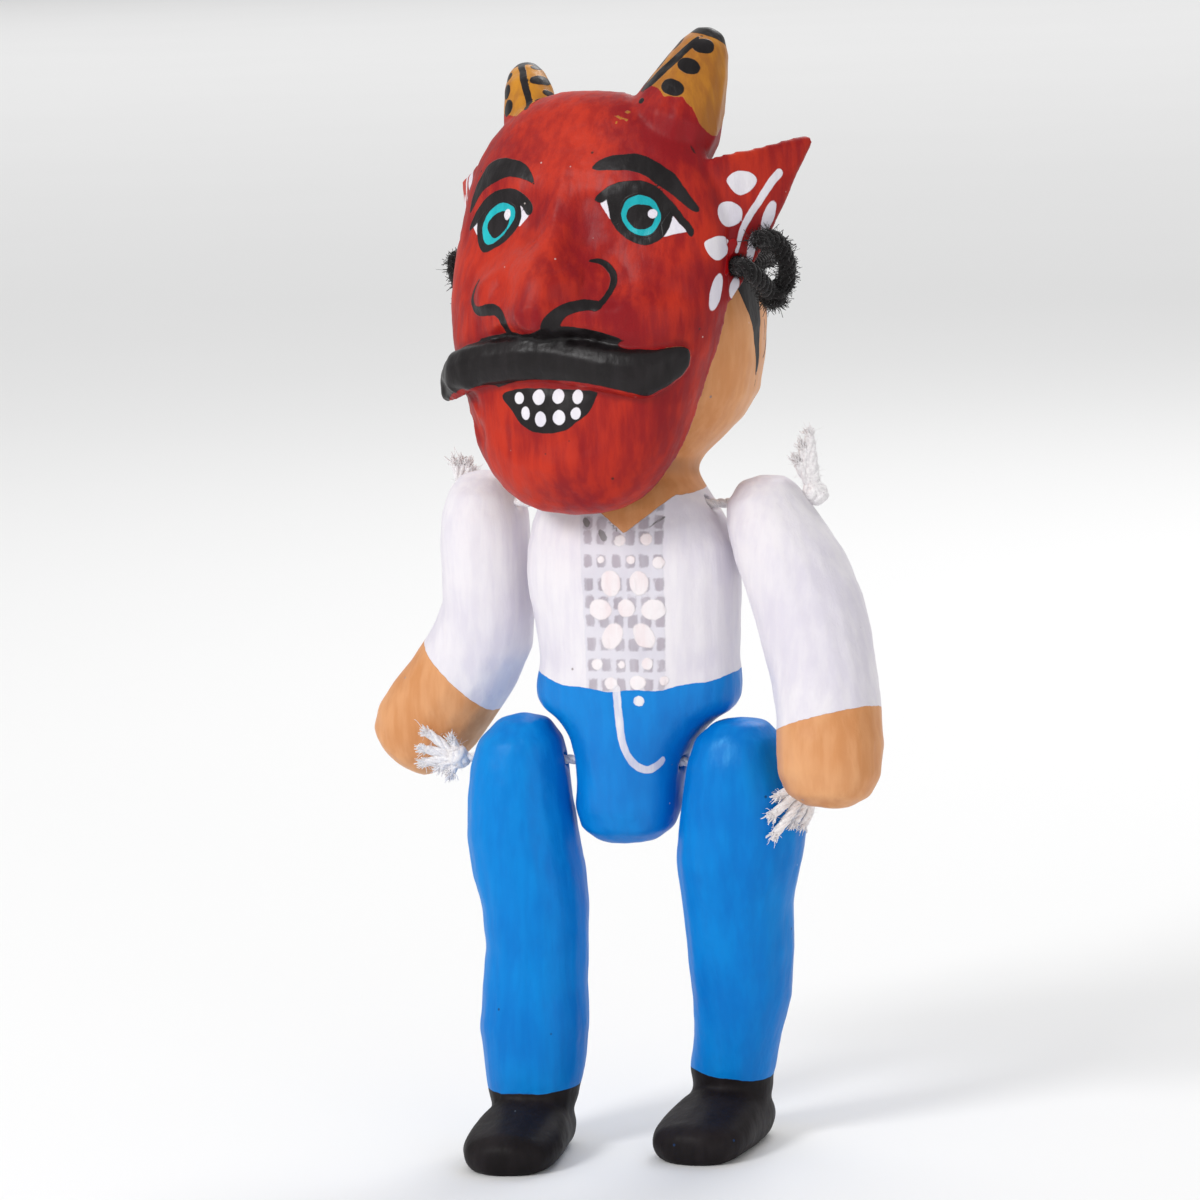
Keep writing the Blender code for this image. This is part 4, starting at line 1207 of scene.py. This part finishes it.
@dataclass
class Body:
    """Head, chest and hips with hair, shirt, bib and trousers, in millimetres."""

    neckline_point: float = 110.2
    neckline_behind: float = 116.6
    waist_in_front: float = 82.6
    waist_behind: float = 84.6
    bib_columns: tuple[float, ...] = (-5.1, -2.5, 0.2, 2.7, 5.1, 7.6)
    bib_rows: tuple[float, ...] = (115.0, 112.0, 109.4, 105.4, 101.3, 98.1, 94.9, 90.8, 87.1, 83.6)
    cell_half_width: float = 0.84
    cell_half_height: float = 1.12

    def build(self) -> None:
        """Make the body, paint it and put it in place."""
        self.mould = Moulding("figure_body", voxel=0.6, rounds=40, lumps=0.3, seed=7.4)
        spots = self.mould.spots()
        self.x, self.y, self.z = spots.T
        self.front = Ink(self.x, self.z)
        self.side = Ink(self.y, self.z)
        before = -self.y + 1.0
        for shape, distance in (
            ("shirt", self._neckline() - self.z),
            ("bib", np.minimum(self._bib(), before)),
            ("cells", np.minimum(np.minimum(self._cells(), self._bib()), before)),
            ("collar", self._collar()),
            ("dots", np.minimum(self._dots(), before)),
            ("trousers", self._waist() - self.z),
            ("fly", np.minimum(self._fly(), before)),
            ("features", self._features()),
            ("hair", self._hair()),
        ):
            self.mould.keep(shape, distance)
        self.mould.dress(BODY_PAINT, "body_paint")

    def _neckline(self) -> np.ndarray:
        """The height of the shirt's edge: a point in front and level behind.

        Returns:
            The height at every vertex.
        """
        front = self.neckline_point + 0.78 * np.abs(self.x - 1.7)
        level = self.neckline_behind + 0.05 * self.y
        return np.where(self.y < 4.0, np.minimum(front, level), level)

    def _waist(self) -> np.ndarray:
        """The height of the trousers' edge.

        Returns:
            The height at every vertex.
        """
        front = self.waist_in_front + 0.0068 * self.x**2 + 0.2 * np.sin(self.x * 0.7)
        back = self.waist_behind + 0.3 * np.sin(self.x * 0.4 + 1.0)
        share = np.clip((self.y + 6.0) / 8.0, 0.0, 1.0)
        return front * (1.0 - share) + back * share

    def _bib(self) -> np.ndarray:
        """The grey panel on the chest.

        Returns:
            Distance inside it, in millimetres.
        """
        panel = self.front.patch([
            (-6.4, 82.4), (-6.35, 98.0), (-6.6, 113.0), (-6.0, 118.0), (8.0, 118.0), (8.3, 112.8),
            (8.35, 98.6), (7.9, 82.6),
        ], False)
        return np.minimum(panel, self._neckline() - self.z - 0.2)

    def _cells(self) -> np.ndarray:
        """The grey squares of the bib's plaid.

        Returns:
            Distance inside them, in millimetres.
        """
        across = np.min([abs(self.x - column) for column in self.bib_columns], axis=0)
        up = np.min([abs(self.z - row) for row in self.bib_rows], axis=0)
        return np.minimum(self.cell_half_width - across, self.cell_half_height - up)

    def _dots(self) -> np.ndarray:
        """The white dots on the bib.

        Returns:
            Distance inside them, in millimetres.
        """
        rows = [
            (-2.6, 105.7, 0.65, 0.65), (2.8, 105.7, 0.78, 0.75), (7.6, 105.1, 1.08, 1.08),
            (0.8, 109.0, 1.08, 1.0), (5.5, 109.2, 1.08, 1.08),
            (-0.95, 101.5, 1.8, 2.35), (4.1, 101.6, 1.65, 2.15),
            (-3.1, 96.9, 2.1, 1.8), (1.7, 97.2, 1.55, 1.6), (6.4, 96.9, 2.15, 1.8),
            (-1.1, 92.2, 1.75, 2.45, -32), (4.6, 92.3, 1.7, 2.35, 34),
            (-4.2, 87.2, 1.1, 1.0), (0.3, 87.2, 0.74, 0.74), (4.9, 87.4, 1.1, 1.1),
            (-1.7, 83.9, 1.2, 1.1), (3.2, 84.1, 1.45, 1.3), (7.8, 84.4, 0.85, 0.85),
        ]
        return self.front.dots(rows)

    def _collar(self) -> np.ndarray:
        """Thin grey lines along the neckline's point.

        Returns:
            Distance inside them, in millimetres.
        """
        lines = [
            self.front.stroke([(-2.4, 112.9, 0.12), (-0.6, 111.6, 0.24), (1.3, 109.9, 0.16)], False),
            self.front.stroke([(5.6, 111.0, 0.12), (8.4, 112.9, 0.2)], False),
            self.front.stroke([(-5.6, 112.4, 0.5), (-5.2, 111.8, 0.6)], False),
            self.front.stroke([(-2.6, 110.4, 0.5), (-2.0, 109.4, 0.6)], False),
        ]
        return np.minimum(np.max(lines, axis=0), -self.y)

    def _fly(self) -> np.ndarray:
        """The white stroke down the front of the trousers, and the button beside it.

        Returns:
            Distance inside them, in millimetres.
        """
        stroke = self.front.stroke([
            (-0.7, 83.0, 0.7), (-0.6, 79.3, 0.72), (-0.4, 75.7, 0.7), (0.3, 72.2, 0.62),
            (1.8, 69.7, 0.66), (3.7, 68.5, 0.7), (5.3, 69.0, 0.6), (6.3, 70.3, 0.35),
        ])
        return np.maximum(stroke, self.front.dot(3.3, 80.9, 0.98, 0.95))

    def _hair(self) -> np.ndarray:
        """Painted hair with a sideburn before each ear, and the brows and eyes under the mask.

        Returns:
            Distance inside them, in millimetres.
        """
        cap = self.side.patch(
            [
                (-16.0, 162.0), (-8.0, 160.0), (-2.4, 156.0), (-0.3, 150.0), (2.2, 145.0),
                (5.9, 133.8), (5.6, 142.0), (6.6, 150.5), (9.6, 152.6), (12.6, 149.5), (14.4, 142.0),
                (16.2, 135.6), (21.0, 131.6), (30.0, 130.0), (30.0, 182.0), (-16.0, 182.0),
            ],
            False,
        )
        face = self.front.dots([(-7.2, 151.0, 1.5, 1.5), (7.2, 151.0, 1.5, 1.5)])
        brows = [
            self.front.stroke([
                (side * 3.6, 155.4, 0.5), (side * 7.4, 157.0, 0.8), (side * 11.0, 155.2, 0.3),
            ])
            for side in (-1, 1)
        ]
        return np.maximum(cap, np.minimum(np.max([face, *brows], axis=0), -self.y))

    def _features(self) -> np.ndarray:
        """Brown lines: each ear, the nose and the mouth under the mask.

        Returns:
            Distance inside them, in millimetres.
        """
        ears = self.side.stroke([
            (8.2, 148.6, 0.3), (11.6, 147.0, 0.45), (12.2, 143.0, 0.4), (10.2, 139.6, 0.35),
            (8.6, 138.6, 0.3),
        ])
        lobe = self.side.stroke([(9.2, 145.4, 0.25), (10.2, 143.6, 0.3), (9.4, 142.0, 0.25)])
        beside = np.abs(self.x) - 14.0
        mouth = self.front.stroke([(-4.4, 138.6, 0.4), (0.0, 137.8, 0.6), (4.4, 138.6, 0.4)])
        tip = self.front.stroke([(-1.6, 144.4, 0.3), (0.0, 143.8, 0.35), (1.6, 144.4, 0.3)])
        return np.maximum(
            np.minimum(np.maximum(ears, lobe), beside), np.minimum(np.maximum(mouth, tip), -self.y)
        )


class Side(Enum):
    """The doll's own sides."""

    LEFT = "left"
    RIGHT = "right"


@dataclass
class Arm:
    """One sleeve with its bare hand. The cuff's height is a start, a slope across and one along."""

    side: Side
    cuff: Triple
    seed: float

    def build(self) -> None:
        """Make the arm, paint it and put it in place."""
        name = self.side.value + "_arm"
        mould = Moulding(name, voxel=0.6, rounds=50, lumps=0.28, seed=self.seed)
        x, y, z = mould.spots().T
        start, across, along = self.cuff
        level = z - (start + across * x + along * y)
        mould.keep("sleeve", level / math.hypot(1.0, across, along))
        mould.dress(ARM_PAINT, "sleeve_paint")


@dataclass
class Leg:
    """One trouser leg with its black shoe.

    The hem is its middle across, its height there and its slope. A scuff is a place and a radius.
    """

    side: Side
    hem: Triple
    scuffs: Points
    seed: float

    def build(self) -> None:
        """Make the leg, paint it and put it in place."""
        name = self.side.value + "_leg"
        mould = Moulding(name, voxel=0.6, rounds=50, lumps=0.22, seed=self.seed)
        x, y, z = mould.spots().T
        middle, height, lean = self.hem
        mould.keep("shoe", height + lean * (x - middle) + 0.1 * np.sin(x * 0.9) - z)
        marks = [size - np.linalg.norm(mould.spots() - spot, axis=1) for *spot, size in self.scuffs]
        mould.keep("scuff", np.max(marks, axis=0))
        mould.dress(LEG_PAINT, "trouser_paint")


class Spinner:
    """Spins strands into one mesh: each is a round tube through its own points."""

    def __init__(self, name: str) -> None:
        """Start an empty bundle.

        Args:
            name: The bundle's name.
        """
        self.curve, self.hairs = (bpy.data.curves.new(name, "CURVE") for _ in range(2))
        for curve, sides in ((self.curve, 2), (self.hairs, 0)):
            curve.dimensions = "3D"
            curve.bevel_depth = 1.0 / METRE
            curve.bevel_resolution = sides
            curve.use_fill_caps = curve is self.curve
        self.rng = np.random.default_rng(11)
        self.shift = doll_middle()
        self.name = name

    def strand(self, path: np.ndarray, radii: np.ndarray | float, hair: bool = False) -> None:
        """Add one strand.

        Args:
            path: Its points in millimetres on the doll.
            radii: Its radius at each, or one radius, in millimetres.
            hair: True makes it with as few faces as can be.
        """
        line = (self.hairs if hair else self.curve).splines.new("POLY")
        line.points.add(len(path) - 1)
        placed = np.ones((len(path), 4))
        placed[:, :3] = (path + self.shift) / METRE
        line.points.foreach_set("co", placed.ravel())
        line.points.foreach_set("radius", np.broadcast_to(radii, len(path)).astype(float))

    def twist(
        self, path: np.ndarray, count: int, radius: float, pitch: float, taper: float = 0.0
    ) -> None:
        """Twist several strands round a path.

        Args:
            path: The middle line's points.
            count: How many strands.
            radius: Each strand's radius, and how far it runs from the middle line.
            pitch: The length of one turn.
            taper: The share of its thickness that is gone at the end.
        """
        steps = np.linalg.norm(np.diff(path, axis=0), axis=1)
        length = np.concatenate([[0.0], np.cumsum(steps)])
        even = np.arange(0.0, length[-1], pitch / 9.0)
        line = np.stack([np.interp(even, length, column) for column in path.T], 1)
        along = np.gradient(line, axis=0)
        along /= np.linalg.norm(along, axis=1)[:, None]
        side = np.cross(along, (0.31, 0.2, 0.93))
        side /= np.linalg.norm(side, axis=1)[:, None]
        deep = np.cross(along, side)
        for k in range(count):
            turn = (even / pitch + k / count) * 2.0 * math.pi
            away = side * np.cos(turn)[:, None] + deep * np.sin(turn)[:, None]
            thick = radius * (1.0 - taper * (even / even[-1]) ** 2)
            self.strand(line + away * thick[:, None], thick)

    def knot(self, middle: np.ndarray, size: float, radius: float, loops: int) -> None:
        """Wind a small knot.

        Args:
            middle: Its centre.
            size: Its outer radius.
            radius: The strand's radius.
            loops: How many turns it has.
        """
        for k in range(loops):
            pole = self.rng.normal(size=3)
            pole /= np.linalg.norm(pole)
            side = np.cross(pole, (0.3, 0.5, 0.8))
            side /= np.linalg.norm(side)
            deep = np.cross(pole, side)
            turn = np.linspace(0.0, 2.0 * math.pi, 17)
            reach = (size - radius) * self.rng.uniform(0.7, 1.0)
            ring = side * np.cos(turn)[:, None] + deep * np.sin(turn)[:, None] * 0.8
            wave = pole * (0.25 * np.sin(2.0 * turn + k) + self.rng.uniform(-0.3, 0.3))[:, None]
            self.strand(middle + (ring + wave) * reach, radius)

    def fray(self, start: np.ndarray, end: np.ndarray, count: int, spread: float, radius: float) -> None:
        """Let a tail come apart into strands or fibres.

        Args:
            start: Where they are still together.
            end: Where their middle ends.
            count: How many there are.
            spread: How far apart they end.
            radius: Each one's radius.
        """
        share = np.linspace(0.0, 1.0, 9)
        for _ in range(count):
            away = self.rng.normal(size=3) * spread * 0.5
            bend = self.rng.normal(size=3) * spread * 0.2
            reach = self.rng.uniform(0.7, 1.04)
            path = start + (end - start) * (share * reach)[:, None]
            path = path + away * (share**1.3)[:, None] + bend * np.sin(share * 5.0)[:, None]
            path = path + self.rng.normal(size=path.shape) * 0.05
            self.strand(path, radius * (1.0 - 0.5 * share**2))

    def fuzz(self, path: np.ndarray, count: int, reach: float, length: float, radius: float) -> None:
        """Stand short hairs all over a yarn.

        Args:
            path: The yarn's middle line.
            count: How many hairs.
            reach: The yarn's radius, where they start.
            length: How long they are.
            radius: Each one's radius.
        """
        for _ in range(count):
            at = self.rng.uniform(0, len(path) - 1.001)
            k = int(at)
            place = path[k] + (path[k + 1] - path[k]) * (at - k)
            out = self.rng.normal(size=3)
            out /= np.linalg.norm(out)
            curl = self.rng.normal(size=3) * 0.8
            root = place + out * reach * 0.8
            size = length * self.rng.uniform(0.5, 1.2)
            share = np.linspace(0.0, 1.0, 3)[:, None]
            self.strand(root + out * size * share + curl * size * share**2, radius, hair=True)

    def dress(self, finish: Fibre, node: str, slot: str) -> None:
        """Make the bundle a mesh, give it its fibre and put it in its solid's place.

        Args:
            finish: The fibre.
            node: The solid's node.
            slot: The record's material slot; not used.
        """
        shape = bmesh.new()
        for curve in (self.curve, self.hairs):
            thing = bpy.data.objects.new(self.name + "_route", curve)
            bpy.context.scene.collection.objects.link(thing)
            graph = bpy.context.evaluated_depsgraph_get()
            shape.from_mesh(bpy.data.meshes.new_from_object(thing.evaluated_get(graph)))
            bpy.data.objects.remove(thing)
        mesh = bpy.data.meshes.new(self.name)
        shape.to_mesh(mesh)
        shape.free()
        mesh.materials.append(finish.mixed())
        mesh.shade_smooth()
        piece = bpy.data.objects.new(self.name, mesh)
        bpy.context.scene.collection.objects.link(piece)
        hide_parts(node)
        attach(piece, "root")
        LOG.info("%s: %d faces", self.name, len(mesh.polygons))


@dataclass
class Tail:
    """A loose end of string beyond its knot: soft clumps that fan out, blunt at their ends.

    Each clump is given by its end, as seen from the knot, and the bow bends them all to one side.
    """

    knot: Triple
    clumps: Points
    bow: Triple = (0.0, 0.0, 0.0)
    strand: float = 0.48


@dataclass
class CottonString:
    """The white string that ties a pair of limbs on, from knot to knot and with its loose ends."""

    node: str
    route: Points
    tails: tuple[Tail, Tail]
    radius: float = 0.9
    pitch: float = 4.2
    knot_radius: float = 2.5
    knot_strand: float = 0.85

    def build(self) -> None:
        """Spin the string and put it in place."""
        spin = Spinner("cotton_" + self.node)
        path = Ink.rounded(self.route, closed=False, steps=8)
        spin.twist(path, 3, self.radius * 0.5, self.pitch)
        share = np.linspace(0.0, 1.0, 12)[:, None]
        for tail in self.tails:
            knot = np.array(tail.knot)
            spin.knot(knot, self.knot_radius, self.knot_strand, loops=8)
            for reach in tail.clumps:
                clump = knot + share * reach + np.sin(math.pi * share) * tail.bow
                spin.twist(clump, 4, tail.strand, pitch=9.0, taper=0.12)
                end = clump[-1]
                way = (end - clump[-4]) / np.linalg.norm(end - clump[-4])
                spin.fray(end - way * 1.8, end + way * 0.5, count=56, spread=0.9, radius=0.17)
                spin.fray(end - way * 1.2, end + way * 0.7, count=16, spread=1.2, radius=0.07)
                spin.fuzz(clump, 70, tail.strand * 1.9, length=0.6, radius=0.025)
        # The last clump is the fluffiest.
        spin.fuzz(clump, 160, self.radius, length=0.6, radius=0.02)
        spin.dress(COTTON, self.node, "white_cotton")


@dataclass
class MaskTie:
    """The black yarn through both ears of the mask and round the back of the head."""

    left_knot: Triple = (27.2, -2.5, 150.4)
    right_knot: Triple = (-30.0, 2.8, 150.0)
    radius: float = 1.4
    pitch: float = 5.0
    height: float = 156.0
    half_width: float = 22.9
    half_depth: float = 21.0
    squareness: float = 2.25

    def build(self) -> None:
        """Spin the yarn and put it in place."""
        spin = Spinner("yarn_mask_tie")
        for path in self._lines():
            spin.twist(path, 4, self.radius * 0.58, self.pitch)
            spin.fuzz(path, len(path) * 7, self.radius, length=0.95, radius=0.025)
            spin.fuzz(path, len(path) * 62, self.radius * 1.15, length=0.6, radius=0.055)
        for knot in (self.left_knot, self.right_knot):
            spin.knot(np.array(knot), size=2.7, radius=0.8, loops=6)
            core = np.array([knot, knot]) + [[0, 0, -0.3], [0, 0, 0.3]]
            spin.fuzz(core, 560, reach=2.3, length=0.7, radius=0.05)
        spin.dress(YARN, "mask_tie", "black_yarn")

    def _lines(self) -> list[np.ndarray]:
        """Lay out the yarn.

        Returns:
            The run from knot to knot, and the loop outside the left ear.
        """
        points = [self.left_knot, (26.4, -7.2, 153.6)]
        holes = {}
        for side in (1, -1):
            holes[side] = [
                tuple(MASK_TURN @ Vector((side * (25.2 + 0.76 * s), 3.9 - 0.65 * s, 6.0)) + MASK_CENTRE)
                for s in (4.2, 1.9, -1.9, -3.1)
            ]
        points += holes[1]
        power = 2.0 / self.squareness
        for degrees in range(-16, 181, 14):
            across, along = math.cos(math.radians(degrees)), math.sin(math.radians(degrees))
            wide = self.half_width * math.copysign(abs(across) ** power, across)
            deep = self.half_depth * math.copysign(abs(along) ** power, along)
            points.append((wide, CROWN.y + deep, self.height))
        points += holes[-1][::-1] + [(-31.0, 0.4, 153.4), self.right_knot]
        loop = [
            self.left_knot,
            (29.3, -1.6, 152.6),
            (29.9, -2.6, 156.6),
            (28.6, -5.2, 160.4),
            (26.2, -8.6, 160.6),
        ]
        return [Ink.rounded(points, closed=False, steps=4), Ink.rounded(loop, closed=False, steps=6)]


class Studio:
    """Pale floor, soft lights and the camera at the photograph's angle."""

    AZIMUTH = math.radians(18.0)
    ELEVATION = math.radians(8.0)
    ROLL = math.radians(2.0)
    DISTANCE = 0.9
    AIM = 0.097
    FOCAL = 153.9
    SENSOR = 36.0
    SHIFT = -37.0 / 1200.0
    SKY = 0.56

    def build(self) -> None:
        """Set the stage."""
        self._floor()
        self._camera()
        self._light("key light", (-0.55, -0.95, 0.8), size=0.4, power=8.0, aim=0.1)
        self._light("fill light", (0.9, -0.9, 0.3), size=0.7, power=1.6, aim=0.1)
        self._light("back light", (0.1, 0.9, 0.9), size=0.6, power=4.0, aim=0.1)
        self._light("backdrop light", (-1.9, 6.0, 4.5), size=10.0, power=190.0, aim=-90.0)
        world = bpy.data.worlds.new("studio")
        world.use_nodes = True
        back = world.node_tree.nodes["Background"]
        back.inputs["Color"].default_value = (1.0, 1.0, 1.0, 1.0)
        back.inputs["Strength"].default_value = self.SKY
        bpy.context.scene.world = world
        bpy.context.scene.view_settings.view_transform = "Standard"

    def _floor(self) -> None:
        """A wide, pale floor."""
        shape = bmesh.new()
        bmesh.ops.create_grid(shape, x_segments=1, y_segments=1, size=20.0)
        mesh = bpy.data.meshes.new("floor")
        shape.to_mesh(mesh)
        shape.free()
        floor = bpy.data.objects.new("floor", mesh)
        bpy.context.scene.collection.objects.link(floor)
        book = Recipe("floor")
        cloud = book.mix(book.grain(400.0), (0.84, 0.84, 0.84), (0.86, 0.86, 0.86))
        mesh.materials.append(book.finish(cloud, 0.8, book.grain(30.0) * 0.01, 0.1))
        floor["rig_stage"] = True

    def _camera(self) -> None:
        """The photograph's camera."""
        middle = Vector(doll_middle()) / METRE
        sin_a, cos_a = math.sin(self.AZIMUTH), math.cos(self.AZIMUTH)
        sin_e, cos_e = math.sin(self.ELEVATION), math.cos(self.ELEVATION)
        back = Vector((sin_a * cos_e, -cos_a * cos_e, sin_e))
        level = Vector((cos_a, sin_a, 0.0))
        upright = back.cross(level)
        right = level * math.cos(self.ROLL) - upright * math.sin(self.ROLL)
        up = level * math.sin(self.ROLL) + upright * math.cos(self.ROLL)
        data = bpy.data.cameras.new("camera")
        data.sensor_width = self.SENSOR
        data.lens = self.FOCAL
        data.shift_x = self.SHIFT
        camera = bpy.data.objects.new("camera", data)
        bpy.context.scene.collection.objects.link(camera)
        turn = Matrix((right, up, back)).transposed().to_4x4()
        place = middle + Vector((0.0, 0.0, self.AIM)) + back * self.DISTANCE
        camera.matrix_world = Matrix.Translation(place) @ turn
        bpy.context.scene.camera = camera

    def _light(self, name: str, place: Triple, size: float, power: float, aim: float) -> None:
        """Add one soft light.

        Args:
            name: Its name.
            place: Where it stands, in metres.
            size: Its diameter in metres.
            power: Its power in watts.
            aim: Height over the origin that it faces, in metres.
        """
        data = bpy.data.lights.new(name, "AREA")
        data.shape = "DISK"
        data.size = size
        data.energy = power
        light = bpy.data.objects.new(name, data)
        bpy.context.scene.collection.objects.link(light)
        light.location = place
        away = Vector(place) - Vector((0.0, 0.0, aim))
        light.rotation_euler = away.to_track_quat("Z", "Y").to_euler()


def main() -> list[list[float]]:
    """Build the doll and its stage.

    Returns:
        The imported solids' box, as its lowest and highest corners.
    """
    logging.basicConfig(level=logging.INFO, format="%(message)s")
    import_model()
    solids = [list(corner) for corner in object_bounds()]
    Studio().build()
    Body().build()
    Arm(Side.LEFT, cuff=(65.9, 0.271, -0.207), seed=1.7).build()
    Arm(Side.RIGHT, cuff=(47.2, -1.02, 0.0), seed=4.6).build()
    Leg(Side.LEFT, hem=(13.6, 12.6, -0.14), scuffs=[(18.6, -12.0, 72.7, 2.6)], seed=9.2).build()
    Leg(Side.RIGHT, hem=(-19.4, 11.4, 0.02), scuffs=[(-18.0, -12.0, 74.5, 1.2)], seed=5.8).build()
    DevilMask().build()
    shoulders = [(32.9, 0.9, 115.9), (16.4, 0.0, 114.2), (-19.0, 0.0, 114.2), (-35.2, 10.0, 114.7)]
    CottonString(
        "shoulder_cord",
        shoulders,
        (
            Tail(
                shoulders[0],
                [(-0.8, -0.3, 10.8), (-2.1, -0.7, 8.6), (-3.1, -1.0, 6.0), (-1.2, -0.4, 7.4)],
                strand=0.56,
            ),
            Tail(shoulders[-1], [(-1.2, -0.4, 5.6), (0.0, 0.0, 5.8), (1.2, 0.4, 5.4), (1.9, 0.6, 3.8)]),
        ),
    ).build()
    hips = [(31.0, -2.2, 68.8), (-33.5, -2.2, 68.8)]
    CottonString(
        "hip_cord",
        hips,
        (
            Tail(
                hips[0],
                [
                    (-4.2, -9.3, -7.5), (-3.9, -9.4, -11.0), (-0.2, -3.6, -10.2), (-1.6, -5.4, -9.8),
                    (-3.4, -7.8, -4.4),
                ],
                bow=(1.5, -1.0, 0.0),
            ),
            Tail(
                hips[-1],
                [
                    (-5.7, -1.4, 4.8), (-6.4, -2.1, 1.8), (-6.2, -2.3, -0.8), (-1.6, -1.2, -3.2),
                    (-3.4, -1.6, -1.8), (-1.3, -0.2, 3.4),
                ],
            ),
        ),
    ).build()
    MaskTie().build()
    return solids


if __name__ == "__main__":
    CAD_BOX = main()
